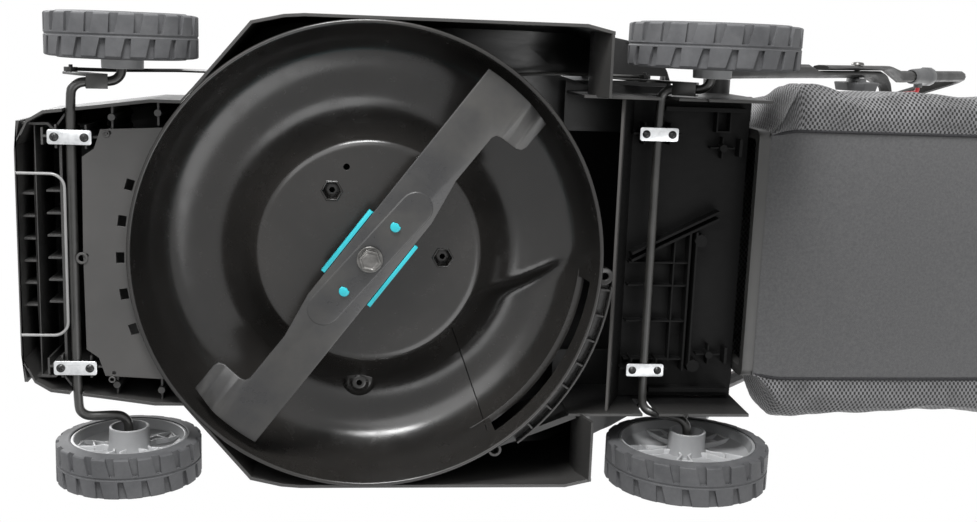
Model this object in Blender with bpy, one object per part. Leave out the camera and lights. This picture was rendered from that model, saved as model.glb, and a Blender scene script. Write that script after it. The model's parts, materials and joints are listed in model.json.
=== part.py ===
"""A walk-behind rotary lawn mower with a grass bag, as separate pieces in metres, +Z up.

X runs forwards and Y to the mower's left. The ground is Z = 0. Places are measured from the
blade's spindle, and one empty carries the whole mower, so that the origin lies on the ground
under the middle of its length.
"""

import math

import bmesh
import bpy
from mathutils import Matrix, Vector

GAP = 0.0003

# Blade, its adaptor and its motor
CUT_DIAMETER = 0.430
BLADE_HEIGHT = 0.0537
BLADE_THICKNESS = 0.003
BLADE_WIDTH = 0.051
BLADE_WAIST = 0.0435
WING_WIDTH = 0.079
WING_LENGTH = 0.044
WING_LIFT = 0.012
BLADE_HEADING = 127.0
EMBOSS_LENGTH = 0.168
EMBOSS_WIDTH = 0.033
EMBOSS_DEPTH = 0.002
EMBOSS_TURN = -4.0
ADAPTOR_LENGTH = 0.075
ADAPTOR_LIP = 0.004
ADAPTOR_PLATE = 0.005
PEG_SPACING = 0.080
PEG_DIAMETER = 0.008
HEX_WIDTH = 0.019
BLADE_BOLT = 0.010
WASHER_DIAMETER = 0.026
SHAFT_DIAMETER = 0.016
MOTOR_DIAMETER = 0.124
MOTOR_HEIGHT = 0.066

# Bowl that the blade turns in
TIP_CLEARANCE = 0.009
RIM_HEIGHT = 0.043
SHEET = 0.003
DISC_DIAMETER = 0.220
DISC_HEIGHT = 0.088
SHAFT_OPENING = 0.060
CHANNEL_RADIUS = 0.170
CHANNEL_LOW = 0.118
CHANNEL_HIGH = 0.133
OUTLET_START = 186.0
OUTLET_END = 234.0
LADDER_DEPTH = 0.016
LADDER_HEIGHT = 0.066
LADDER_STEP = 6.5

# Deck
NOSE_REACH = 0.334
NOSE_HALF_WIDTH = 0.090
FRONT_HALF_WIDTH = 0.147
FRONT_TOP = 0.158
SIDE_CLEARANCE = 0.0004
SKIRT_HEIGHT = 0.047
NOSE_BOTTOM = 0.050
DECK_TOP = 0.166
DECK_REAR = 0.395
REAR_HALF_WIDTH = 0.163
REAR_TOP = 0.300
REAR_BOTTOM = 0.070
ARCH_RADIUS = 0.118
ARCH_RISE = 0.0105
RIB = 0.002
NOSE_WALL_BOTTOM = 0.060
GRIP_BACK = 0.288
GRIP_HALF_WIDTH = 0.0755
GRIP_RIB_X = 0.313
GRIP_RIB_PITCH = 0.0214
GRIP_RIBS = 6
BAFFLE_HALF_WIDTH = 0.121
BAFFLE_LENGTH = 0.036
BAFFLE_SLOTS = 5
BAFFLE_SLOT_STEP = 8.6
BAFFLE_SLOT = (0.0076, 0.0105)

# Wheels
FRONT_RADIUS = 0.069
FRONT_WIDTH = 0.042
FRONT_INNER = 0.183
FRONT_X = 0.232
REAR_RADIUS = 0.0845
REAR_WIDTH = 0.044
REAR_INNER = 0.192
REAR_X = -0.335
TYRE_WALL = 0.0135
TREAD_BLOCKS = 20
TREAD_DEPTH = 0.003
HUB_DIAMETER = 0.038
HUB_PROUD = 0.0095
SPOKES = 5

# Axles: bent rods that swing in the deck and carry the wheels on their cranks
ROD = 0.009
ROD_BEND = 0.013
FRONT_PIVOT = (0.2775, 0.056)
REAR_PIVOT = (-0.291, 0.113)
FRONT_ARM_Y = 0.161
REAR_ARM_Y = 0.1705
CLAMP_LENGTH = 0.040
CLAMP_WIDTH = 0.0135
CLAMP_THICKNESS = 0.002
CLAMP_HOLES = 0.027
CLAMP_SCREW = 0.007
FRONT_CLAMP_Y = 0.110
REAR_CLAMP_Y = 0.124

# Height linkage on the left side
PLATE = 0.0025
LINK = 0.004
PIN = 0.004
PIN_OFFSET = (0.008, 0.041)
LEVER_LENGTH = 0.165
LEVER_LEAN = 17.0
LEVER_KNOB = 0.042
LEVER_OFFSET = 0.004
LEVER_SLOT = (0.015, 0.140)

# Bag floor behind the bowl
FLOOR_TOP = 0.136
FLOOR_SHEET = 0.0025
RAMP_BOTTOM = 0.078

# Handle
TUBE = 0.018
TUBE_FLAT = 0.010
END_FLAT = 0.007
HANDLE_PIVOT = (-0.382, 0.225)
HANDLE_ANGLE = 46.3
HANDLE_HALF_WIDTH = 0.1875
PIVOT_BOSS = 0.030
JOINT_ALONG = 0.418
END_ALONG = 0.290
LOWER_BEND_ALONG = 0.545
LOWER_BEND = 0.045
CORNER_ALONG = 0.915
CORNER_BEND = 0.032
UPPER_HALF_WIDTH = 0.180
GRIP_RISE = 0.165
GRIP_LEAN = 0.012
GRIP_HALF_WIDTH = 0.121
GRIP_DIAMETER = 0.0245
HANDLE_BOLT = 0.008
MID_KNOB = 0.064
PIVOT_KNOB = 0.044
KNOB_HEIGHT = 0.017
BAIL_ALONG = 0.677
BAIL_ROD = 0.007
BAIL_LEAN = 0.020
BAIL_HALF_WIDTH = 0.108
BAIL_BOSS = 0.013
BAIL_BOSS_REACH = 0.017
BAIL_SOCKET = 0.005

# Bag
BAG_LENGTH = 0.455
BAG_BOTTOM = 0.105
BAG_TOP = 0.298
BAG_MOUTH_HALF = 0.131
BAG_BULGE_HALF = 0.170
BAG_WALL = 0.0035
BAG_FRAME = 0.012

# Cover and batteries
COVER_X = 0.0
COVER_LENGTH = 0.300
COVER_WIDTH = 0.264
COVER_HEIGHT = 0.090
BAY_LENGTH = 0.160
BAY_WIDTH = 0.160
BAY_DEPTH = 0.070
LID_RISE = 0.012
BATTERY_LENGTH = 0.120
BATTERY_WIDTH = 0.072
BATTERY_HEIGHT = 0.060

# Places that follow from the sizes above
BOWL_INNER = CUT_DIAMETER / 2 + TIP_CLEARANCE
BOWL_OUTER = BOWL_INNER + SHEET
SKIRT_HALF_WIDTH = BOWL_OUTER + SIDE_CLEARANCE + SHEET
BLADE_TOP = BLADE_HEIGHT + BLADE_THICKNESS
FRONT_ROD_LOW = FRONT_PIVOT[1] - ROD / 2
REAR_ROD_LOW = REAR_PIVOT[1] - ROD / 2
CORNER_X = HANDLE_PIVOT[0] - CORNER_ALONG * math.cos(math.radians(HANDLE_ANGLE))
SPINDLE_X = -(NOSE_REACH + CORNER_X - TUBE / 2) / 2

PLAN = Matrix.Identity(4)
SIDE = Matrix(((1, 0, 0, 0), (0, 0, 1, 0), (0, 1, 0, 0), (0, 0, 0, 1)))

FINISHES = {
    "deck_plastic": ((0.030, 0.030, 0.032), 0.0, 0.45),
    "cover_plastic": ((0.045, 0.047, 0.050), 0.0, 0.35),
    "accent_plastic": ((0.010, 0.330, 0.360), 0.0, 0.40),
    "wheel_plastic": ((0.200, 0.205, 0.212), 0.0, 0.50),
    "tyre_rubber": ((0.075, 0.077, 0.080), 0.0, 0.80),
    "axle_steel": ((0.055, 0.052, 0.050), 0.8, 0.42),
    "zinc_steel": ((0.620, 0.630, 0.640), 1.0, 0.35),
    "blade_steel": ((0.060, 0.060, 0.062), 0.6, 0.45),
    "bolt_steel": ((0.070, 0.070, 0.072), 0.9, 0.40),
    "handle_paint": ((0.028, 0.028, 0.030), 0.3, 0.40),
    "knob_plastic": ((0.050, 0.052, 0.055), 0.0, 0.50),
    "grip_foam": ((0.030, 0.030, 0.032), 0.0, 0.90),
    "bail_paint": ((0.600, 0.020, 0.025), 0.2, 0.40),
    "bag_cloth": ((0.050, 0.051, 0.053), 0.0, 0.90),
    "motor_steel": ((0.250, 0.255, 0.260), 0.9, 0.45),
}


def arc(centre, radius, start, end, steps):
    """Points on a circular arc, both ends included, with the angles in degrees."""
    points = []
    for k in range(steps + 1):
        angle = math.radians(start + (end - start) * k / steps)
        points.append((centre[0] + radius * math.cos(angle), centre[1] + radius * math.sin(angle)))
    return points


def rounded(corners, radius, steps=3):
    """A closed outline or open path whose inner corners, or all of a 2-D outline's, are arcs."""
    corners = [Vector(corner) for corner in corners]
    closed = len(corners[0]) == 2
    points = []
    for k, corner in enumerate(corners):
        if not closed and k in (0, len(corners) - 1):
            points.append(corner)
            continue
        before = (corners[k - 1] - corner).normalized()
        after = (corners[(k + 1) % len(corners)] - corner).normalized()
        half_turn = before.angle(after) / 2
        bend = radius[k] if isinstance(radius, (list, tuple)) else radius
        if bend <= 0 or half_turn > math.pi / 2 - 0.01:
            points.append(corner)
            continue
        centre = corner + (before + after).normalized() * bend / math.sin(half_turn)
        first = corner + before * bend / math.tan(half_turn) - centre
        last = corner + after * bend / math.tan(half_turn) - centre
        for step in range(steps + 1):
            share = step / steps
            if closed:
                points.append(centre + turn_between(first, last, share))
            else:
                points.append(centre + first.normalized().slerp(last.normalized(), share) * first.length)
    return [tuple(point) for point in points]


def turn_between(first, last, share):
    angle = math.atan2(first.x * last.y - first.y * last.x, first.dot(last)) * share
    return Vector((first.x * math.cos(angle) - first.y * math.sin(angle),
                   first.x * math.sin(angle) + first.y * math.cos(angle)))


def loft(rings, caps=True, loop=False):
    """A skin through rings of equally many points, with flat ends, or its last ring met by its first."""
    shape = bmesh.new()
    rows = [[shape.verts.new(point) for point in ring] for ring in rings]
    count = len(rows[0])
    pairs = list(zip(rows, rows[1:] + rows[:1])) if loop else list(zip(rows, rows[1:]))
    for low, high in pairs:
        for k in range(count):
            shape.faces.new((low[k], low[(k + 1) % count], high[(k + 1) % count], high[k]))
    if caps and not loop:
        shape.faces.new(rows[0][::-1])
        shape.faces.new(rows[-1])
    bmesh.ops.recalc_face_normals(shape, faces=shape.faces)
    return shape


def prism(outline, low, high, frame=PLAN):
    """An outline in the frame's first two axes, extruded along its third."""
    rings = []
    for level in (low, high):
        rings.append([frame @ Vector((point[0], point[1], level)) for point in outline])
    return loft(rings)


def box(low, high):
    outline = [(low[0], low[1]), (high[0], low[1]), (high[0], high[1]), (low[0], high[1])]
    return prism(outline, low[2], high[2])


def rib(start, end, low, high, thickness=RIB):
    """An upright wall between two points in plan."""
    along = Vector(end) - Vector(start)
    side = Vector((-along.y, along.x)).normalized() * thickness / 2
    outline = [Vector(start) + side, Vector(end) + side, Vector(end) - side, Vector(start) - side]
    return prism(outline, low, high)


def turned(profile, steps, centre=(0.0, 0.0, 0.0), axis="Z"):
    """A closed profile of (radius, height) points turned about an axis. Two ends at radius 0 are poles."""
    turn = {"Z": Matrix.Identity(3), "Y": Matrix(((1, 0, 0), (0, 0, 1), (0, -1, 0))),
            "X": Matrix(((0, 0, 1), (0, 1, 0), (-1, 0, 0)))}[axis]
    shape = bmesh.new()
    rows = []
    for radius, height in profile:
        count = 1 if radius == 0 else steps
        row = []
        for k in range(count):
            angle = 2 * math.pi * k / steps
            point = Vector((radius * math.cos(angle), radius * math.sin(angle), height))
            row.append(shape.verts.new(turn @ point + Vector(centre)))
        rows.append(row)
    poles = profile[0][0] == 0
    pairs = zip(rows, rows[1:]) if poles else zip(rows, rows[1:] + rows[:1])
    for low, high in pairs:
        for k in range(steps):
            corners = [low[k % len(low)], low[(k + 1) % len(low)],
                       high[(k + 1) % len(high)], high[k % len(high)]]
            shape.faces.new(list(dict.fromkeys(corners)))
    bmesh.ops.recalc_face_normals(shape, faces=shape.faces)
    return shape


def rod(path, radius, sides=10, normal=(0.0, 0.0, 1.0)):
    """A round rod along a path. A list of radii gives (sideways, along the normal) at each point."""
    path = [Vector(point) for point in path]
    up = Vector(normal)
    rings = []
    for k, point in enumerate(path):
        ahead = (path[min(k + 1, len(path) - 1)] - point)
        behind = (point - path[max(k - 1, 0)])
        tangent = (ahead.normalized() + behind.normalized()).normalized()
        up = (up - tangent * up.dot(tangent)).normalized()
        across = tangent.cross(up)
        wide, high = radius[k] if isinstance(radius, list) else (radius, radius)
        stretch = 1.0 / max(math.cos(ahead.angle(behind) / 2), 0.5) if 0 < k < len(path) - 1 else 1.0
        bend = (ahead.normalized() - behind.normalized()) if 0 < k < len(path) - 1 else Vector()
        ring = []
        for side in range(sides):
            angle = 2 * math.pi * (side + 0.5) / sides
            offset = across * wide * math.cos(angle) + up * high * math.sin(angle)
            if bend.length > 1e-6:
                outward = bend.normalized()
                offset += outward * offset.dot(outward) * (stretch - 1.0)
            ring.append(point + offset)
        rings.append(ring)
    return loft(rings)


def cylinder(centre, radius, low, high, axis="Z", steps=12):
    return turned([(0, low), (radius, low), (radius, high), (0, high)], steps, centre, axis)


def material(name):
    if name in bpy.data.materials:
        return bpy.data.materials[name]
    colour, metallic, roughness = FINISHES[name]
    made = bpy.data.materials.new(name)
    made.use_nodes = True
    surface = made.node_tree.nodes["Principled BSDF"]
    surface.inputs["Base Color"].default_value = (*colour, 1.0)
    surface.inputs["Metallic"].default_value = metallic
    surface.inputs["Roughness"].default_value = roughness
    made.diffuse_color = (*colour, 1.0)
    return made


def add(name, shape, finish, origin=(0.0, 0.0, 0.0), smooth=35.0):
    """Turn a shape in the mower's frame into an object whose own origin lies at the given point."""
    bmesh.ops.translate(shape, verts=shape.verts, vec=-Vector(origin))
    mesh = bpy.data.meshes.new(name)
    shape.to_mesh(mesh)
    shape.free()
    mesh.materials.append(material(finish))
    mesh.shade_smooth()
    mesh.set_sharp_from_angle(angle=math.radians(smooth))
    piece = bpy.data.objects.new(name, mesh)
    bpy.context.scene.collection.objects.link(piece)
    piece.parent = bpy.data.objects["mower"]
    piece.location = origin
    return piece


def combine(piece, shapes, operation):
    """Join shapes to a piece, or cut them out of it, with one Boolean over a group of hidden helpers."""
    group = bpy.data.collections.new(f"{piece.name} {operation.lower()}")
    for k, shape in enumerate(shapes):
        helper = add(f"{group.name} {k}", shape, "deck_plastic")
        bpy.context.scene.collection.objects.unlink(helper)
        group.objects.link(helper)
        helper.hide_render = True
        helper.display_type = "WIRE"
    bpy.context.scene.collection.children.link(group)
    boolean = piece.modifiers.new(group.name, "BOOLEAN")
    boolean.operation = operation
    boolean.operand_type = "COLLECTION"
    boolean.collection = group
    boolean.solver = "EXACT"


def join(piece, shapes):
    combine(piece, shapes, "UNION")


def cut(piece, shapes):
    combine(piece, shapes, "DIFFERENCE")


def between(table, x):
    """The table's values at x, read along straight lines from one row to the next."""
    for (x1, *first), (x2, *second) in zip(table, table[1:]):
        if x2 <= x <= x1:
            share = (x1 - x) / (x1 - x2)
            return [a + (b - a) * share for a, b in zip(first, second)]
    return list(table[0][1:] if x > table[0][0] else table[-1][1:])


def deck_stations():
    """Along the deck from nose to rear: x, half width, top, bottom edge and corner radius."""
    wide = SKIRT_HALF_WIDTH
    return [
        (NOSE_REACH, NOSE_HALF_WIDTH, FRONT_TOP - 0.048, NOSE_BOTTOM, 0.010),
        (NOSE_REACH - 0.012, FRONT_HALF_WIDTH - 0.022, FRONT_TOP - 0.030, NOSE_BOTTOM, 0.014),
        (NOSE_REACH - 0.033, FRONT_HALF_WIDTH - 0.013, FRONT_TOP - 0.020, NOSE_BOTTOM, 0.018),
        (FRONT_X + 0.022, FRONT_HALF_WIDTH - 0.007, FRONT_TOP - 0.008, NOSE_BOTTOM, 0.020),
        (FRONT_X - 0.028, FRONT_HALF_WIDTH, FRONT_TOP, NOSE_BOTTOM, 0.020),
        (FRONT_X - 0.055, FRONT_HALF_WIDTH, DECK_TOP - 0.004, NOSE_BOTTOM, 0.018),
        (FRONT_X - 0.067, FRONT_HALF_WIDTH + 0.013, DECK_TOP, SKIRT_HEIGHT, 0.016),
        (FRONT_X - 0.119, wide - 0.0086, DECK_TOP, SKIRT_HEIGHT, 0.016),
        (FRONT_X - 0.149, wide - 0.0016, DECK_TOP, SKIRT_HEIGHT, 0.018),
        (FRONT_X - 0.168, wide, DECK_TOP, SKIRT_HEIGHT, 0.018),
        (REAR_X + 0.180, wide, DECK_TOP, SKIRT_HEIGHT, 0.018),
        (REAR_X + 0.134, wide, DECK_TOP + 0.010, SKIRT_HEIGHT, 0.022),
        (REAR_X + 0.096, wide - 0.0086, DECK_TOP + 0.045, SKIRT_HEIGHT, 0.030),
        (REAR_X + 0.055, wide - 0.0146, DECK_TOP + 0.066, SKIRT_HEIGHT, 0.034),
        (REAR_X + 0.025, wide - 0.0256, DECK_TOP + 0.072, SKIRT_HEIGHT, 0.030),
        (REAR_X + 0.013, wide - 0.0456, DECK_TOP + 0.076, SKIRT_HEIGHT, 0.022),
        (REAR_X + 0.005, REAR_HALF_WIDTH, DECK_TOP + 0.084, REAR_BOTTOM, 0.014),
        (REAR_X - 0.030, REAR_HALF_WIDTH, REAR_TOP - 0.010, REAR_BOTTOM, 0.012),
        (-DECK_REAR, REAR_HALF_WIDTH, REAR_TOP, REAR_BOTTOM, 0.012),
    ]


def inset(stations, wall):
    """The stations of the skin that lies one wall inside, square to the outline in plan."""
    plan = [Vector((row[0], row[1])) for row in stations]
    moved = []
    for k, row in enumerate(stations):
        before = plan[k] - plan[k - 1] if k else Vector((0.0, 1.0))
        after = plan[k + 1] - plan[k] if k + 1 < len(plan) else Vector((-1.0, 0.0))
        sides = [Vector((-edge.y, edge.x)).normalized() for edge in (before, after)]
        mitre = (sides[0] + sides[1]).normalized()
        place = plan[k] + mitre * wall / max(mitre.dot(sides[0]), 0.4)
        moved.append((place.x, place.y, row[2] - wall, row[3] - 2 * wall, row[4] - wall * 0.5))
    last = moved[-1]
    moved[-1] = (last[0] - 3 * wall, *last[1:])
    return moved


def hoop(x, half, top, bottom, corner):
    """An arch across the deck: up one side, over the top and down the other."""
    right = arc((-half + corner, top - corner), corner, 180, 90, 2)
    left = arc((half - corner, top - corner), corner, 90, 0, 2)
    return [(x, y, z) for y, z in [(-half, bottom)] + right + left + [(half, bottom)]]


def roof(x):
    """Half way through the deck's top skin."""
    return between(deck_stations(), x)[1] - SHEET / 2


def deck_rib(start, end, low, thickness=RIB):
    """An upright wall under the deck that runs up into its top skin."""
    along = Vector(end) - Vector(start)
    side = Vector((-along.y, along.x)).normalized() * thickness / 2
    plan = [Vector(start) + side, Vector(end) + side, Vector(end) - side, Vector(start) - side]
    return loft([[(p.x, p.y, low) for p in plan], [(p.x, p.y, roof(p.x)) for p in plan]])


def deck_boss(x, y, radius, low):
    return cylinder((x, y, 0), radius, low, roof(x), steps=8)


def nose_walls():
    """The carrying grip in the nose: its walls, the long rib and the short ones across it."""
    low = NOSE_WALL_BOTTOM
    front = NOSE_REACH - SHEET
    walls = []
    for side in (1, -1):
        y = side * GRIP_HALF_WIDTH
        walls.append(deck_rib((front, y), (GRIP_BACK + 0.010, y), low, 0.0025))
        walls.append(deck_rib((GRIP_BACK + 0.0108, y), (GRIP_BACK, y - side * 0.0108), low, 0.0025))
        walls.append(deck_rib((GRIP_BACK + 0.004, y - side * 0.003), (GRIP_BACK - 0.008, y + side * 0.014), low))
    walls.append(deck_rib((GRIP_BACK, GRIP_HALF_WIDTH - 0.010), (GRIP_BACK, 0.010 - GRIP_HALF_WIDTH), low, 0.0025))
    walls.append(deck_rib((GRIP_RIB_X, GRIP_HALF_WIDTH), (GRIP_RIB_X, -GRIP_HALF_WIDTH), low + 0.003))
    for k in range(GRIP_RIBS):
        y = (k - (GRIP_RIBS - 1) / 2) * GRIP_RIB_PITCH
        walls.append(deck_rib((front, y + 0.0015), (GRIP_RIB_X, y + 0.0015), low + 0.004))
        walls.append(deck_rib((GRIP_BACK, y + 0.004), (GRIP_BACK + 0.016, y + 0.004), low + 0.008))
    return walls


def clamp_posts(pivot, y, make_post, make_rib):
    """Two posts for a clamp's screws, with a rib between them that sits on the rod."""
    strap_top = pivot[1] - ROD / 2
    posts = []
    for side in (1, -1):
        x = pivot[0] + side * CLAMP_HOLES / 2
        posts.append(make_post(x, y, 0.0052, strap_top))
        posts.append(make_rib((x, y - 0.011), (x, y + 0.011), strap_top + 0.004))
        posts.append(make_rib((x, y), (x + side * 0.012, y), strap_top + 0.004))
    seat = pivot[1] + ROD / 2 + GAP
    posts.append(make_rib((pivot[0] - CLAMP_HOLES / 2, y), (pivot[0] + CLAMP_HOLES / 2, y), seat))
    return posts


def front_supports():
    """Posts under the nose for the clamps, the front baffle and the side pockets."""
    shapes = []
    over_baffle = baffle_bottom() + SHEET + GAP
    for side in (1, -1):
        shapes += clamp_posts(FRONT_PIVOT, side * FRONT_CLAMP_Y, deck_boss, deck_rib)
        shapes.append(deck_rib((FRONT_PIVOT[0] + 0.026, side * FRONT_CLAMP_Y - 0.008),
                               (FRONT_PIVOT[0] + 0.026, side * FRONT_CLAMP_Y + 0.008), NOSE_BOTTOM + 0.006))
        shapes.append(deck_boss(0.242, side * (BAFFLE_HALF_WIDTH - 0.006), 0.004, over_baffle))
        for x in (0.241, 0.199):
            y = between(deck_stations(), x)[0] - 0.013
            shapes.append(deck_boss(x, side * y, 0.0035, NOSE_BOTTOM + 0.008))
            shapes.append(deck_rib((x, side * (y - 0.012)), (x, side * (y + 0.0115)), NOSE_BOTTOM + 0.012))
    shapes.append(deck_boss(0.265, -0.001, 0.0045, over_baffle))
    shapes.append(deck_rib((-0.126, -0.1975), (-0.2130, -0.1635), REAR_BOTTOM + 0.004, 0.006))
    return shapes


def well_walls():
    """The walls beside the rear wheels, and the curved strips that line the arches."""
    shapes = []
    centre = (REAR_X, REAR_RADIUS + ARCH_RISE)
    stations = deck_stations()
    front = REAR_X + 0.130
    tops = [row for row in stations if REAR_X < row[0] < front]
    for side in (1, -1):
        inner, outer = sorted((side * (REAR_HALF_WIDTH - SHEET + 0.0001), side * (REAR_HALF_WIDTH - 0.0001)))
        outline = [(REAR_X, REAR_BOTTOM), (front, REAR_BOTTOM), (front, roof(front))]
        outline += [(row[0], row[2] - SHEET / 2) for row in tops] + [(REAR_X, roof(REAR_X))]
        shapes.append(prism(outline, inner, outer, SIDE))
        low = math.degrees(math.asin((SKIRT_HEIGHT - centre[1]) / ARCH_RADIUS))
        rings = []
        for (x, z), (x2, z2) in zip(arc(centre, ARCH_RADIUS, low, 84, 8), arc(centre, ARCH_RADIUS + SHEET, low, 84, 8)):
            reach = between(stations, x)[0] - SHEET / 2
            near, far = side * (REAR_HALF_WIDTH - SHEET / 2), side * reach
            rings.append([(x, near, z), (x, far, z), (x2, far, z2), (x2, near, z2)])
        shapes.append(loft(rings))
    return shapes


def rear_supports():
    """Bosses for the handle's pivots, shelves for the bag's hooks and ears for the flap's pin."""
    shapes = []
    for side in (1, -1):
        low, high = sorted((side * (REAR_HALF_WIDTH - SHEET / 2), side * (HANDLE_HALF_WIDTH - TUBE / 2 - GAP)))
        shapes.append(cylinder((HANDLE_PIVOT[0], 0, HANDLE_PIVOT[1]), PIVOT_BOSS / 2, low, high, "Y", 14))
        shelf = [(-DECK_REAR + 0.012, hook_height() - 0.020), (-DECK_REAR + 0.012, hook_height() - GAP),
                 (-DECK_REAR - 0.016, hook_height() - GAP), (-DECK_REAR - 0.016, hook_height() - 0.006)]
        low, high = sorted((side * (BAG_MOUTH_HALF + 0.004), side * (REAR_HALF_WIDTH - SHEET / 2)))
        shapes.append(prism(shelf, low, high, SIDE))
        pin_x, pin_z = flap_axis()
        ear = [(-DECK_REAR + 0.026, roof(-DECK_REAR + 0.026)), (-DECK_REAR + 0.001, roof(-DECK_REAR + 0.001))]
        ear += arc((pin_x, pin_z), 0.006, 230, 60, 5)
        middle = side * (flap_half() + 0.0034)
        shapes.append(prism(ear, middle - 0.0025, middle + 0.0025, SIDE))
    return shapes


def hook_height():
    """The top of the deck's shelves, where the bag's frame hangs."""
    return (BAG_TOP + BAG_BOTTOM) / 2 - 0.010


def flap_axis():
    return -DECK_REAR - 0.007, REAR_TOP + 0.009


def flap_half():
    return BAG_MOUTH_HALF


def deck_body():
    stations = deck_stations()
    deck = add("deck_body", loft([hoop(*row) for row in stations]), "deck_plastic")
    arches = []
    for side in (1, -1):
        low, high = sorted((side * REAR_HALF_WIDTH, side * (SKIRT_HALF_WIDTH + 0.01)))
        arches.append(cylinder((REAR_X, 0, REAR_RADIUS + ARCH_RISE), ARCH_RADIUS, low, high, "Y", 40))
    scoop = box((NOSE_REACH - SHEET, -GRIP_HALF_WIDTH, 0.0), (NOSE_REACH + 0.01, GRIP_HALF_WIDTH, FRONT_TOP))
    cut(deck, [loft([hoop(*row) for row in inset(stations, SHEET)])] + arches + [scoop])
    lip = box((NOSE_REACH - 2 * SHEET + 0.0004, -GRIP_HALF_WIDTH - 0.003, NOSE_BOTTOM),
              (NOSE_REACH - SHEET + 0.0004, GRIP_HALF_WIDTH + 0.003, roof(NOSE_REACH - SHEET)))
    join(deck, [lip] + nose_walls() + front_supports() + well_walls() + rear_supports())
    cut(deck, deck_openings())
    return deck


def deck_openings():
    """Notches for the axle rods, the pivot bolts, the height lever's slot and the link's way through."""
    shapes = []
    reach = SKIRT_HALF_WIDTH + 0.01
    notch = ROD / 2 + 0.0015
    bend = ROD / 2 + 0.0040
    shapes.append(box((FRONT_PIVOT[0] - notch, -reach, 0.0), (FRONT_PIVOT[0] + notch, reach, FRONT_PIVOT[1] + notch)))
    for side in (1, -1):
        low, high = sorted((side * (REAR_HALF_WIDTH - 0.02), side * (REAR_HALF_WIDTH + 0.002)))
        shapes.append(box((REAR_PIVOT[0] - bend, low, 0.0), (REAR_PIVOT[0] + bend, high, REAR_PIVOT[1] + bend)))
        low, high = sorted((side * 0.1, side * reach))
        shapes.append(cylinder((HANDLE_PIVOT[0], 0, HANDLE_PIVOT[1]), HANDLE_BOLT / 2 + GAP, low, high, "Y"))
        pin_x, pin_z = flap_axis()
        low, high = sorted((side * 0.1, side * (flap_half() + 0.012)))
        shapes.append(cylinder((pin_x, 0, pin_z), PIN / 2 + GAP, low, high, "Y", 12))
    lever_y = plate_y(REAR_ARM_Y)
    shapes.append(box((REAR_X + LEVER_SLOT[0], lever_y - 0.002, REAR_PIVOT[1]),
                      (REAR_X + LEVER_SLOT[1], lever_y + PLATE + 0.002, REAR_TOP)))
    run = REAR_PIVOT[1] + PIN_OFFSET[1]
    for x, y in ((FRONT_X - 0.095, link_y(FRONT_ARM_Y)), (REAR_X + 0.088, link_y(REAR_ARM_Y))):
        shapes.append(box((x, y - 0.006, run - 0.018), (x + 0.035, y + 0.006, run + 0.0045)))
    return shapes


def baffle_bottom():
    return FRONT_ROD_LOW


def front_baffle():
    """The plate between the nose and the bowl, with a row of slots along the bowl's rim."""
    low = baffle_bottom()
    front = FRONT_PIVOT[0] - ROD / 2 - 0.005
    reach = math.degrees(math.asin(BAFFLE_HALF_WIDTH / (BOWL_OUTER + 0.0004)))
    outline = arc((0, 0), BOWL_OUTER + 0.0004, -reach, reach, 20)
    shoulder = FRONT_PIVOT[0] - CLAMP_HOLES / 2 - 0.008
    outline += [(shoulder - 0.006, BAFFLE_HALF_WIDTH - 0.003), (shoulder, FRONT_CLAMP_Y - 0.010), (front - 0.001, FRONT_CLAMP_Y - 0.018),
                (front, 0.0), (front - 0.001, 0.018 - FRONT_CLAMP_Y), (shoulder, 0.010 - FRONT_CLAMP_Y),
                (shoulder - 0.006, 0.003 - BAFFLE_HALF_WIDTH)]
    plate = add("front_baffle", prism(outline, low, low + SHEET), "deck_plastic")
    slots = []
    for k in range(BAFFLE_SLOTS):
        angle = math.radians((k - (BAFFLE_SLOTS - 1) / 2) * BAFFLE_SLOT_STEP - 0.6)
        radial = Vector((math.cos(angle), math.sin(angle)))
        tangent = Vector((-radial.y, radial.x))
        centre = radial * (BOWL_OUTER + 0.0072)
        deep, wide = BAFFLE_SLOT[0] / 2, BAFFLE_SLOT[1] / 2
        corners = [centre + radial * a * deep + tangent * b * wide for a, b in ((-1, -1), (1, -1), (1, 1), (-1, 1))]
        slots.append(prism(corners, low - 0.002, low + SHEET + 0.002))
    for y in (1, -1):
        slots.append(cylinder((0.242, y * (BAFFLE_HALF_WIDTH - 0.006), 0), 0.002, low - 0.002, low + SHEET + 0.002, steps=8))
    slots.append(cylinder((0.265, -0.001, 0), 0.002, low - 0.002, low + SHEET + 0.002, steps=8))
    cut(plate, slots)
    return plate


def ceiling(angle):
    """Height of the channel's underside: it climbs the way the blade turns, from the outlet round to it."""
    travelled = (OUTLET_START - 10.0 - angle) % 360.0 / 360.0
    return CHANNEL_LOW + (CHANNEL_HIGH - CHANNEL_LOW) * min(travelled * 1.12, 1.0)


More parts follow.
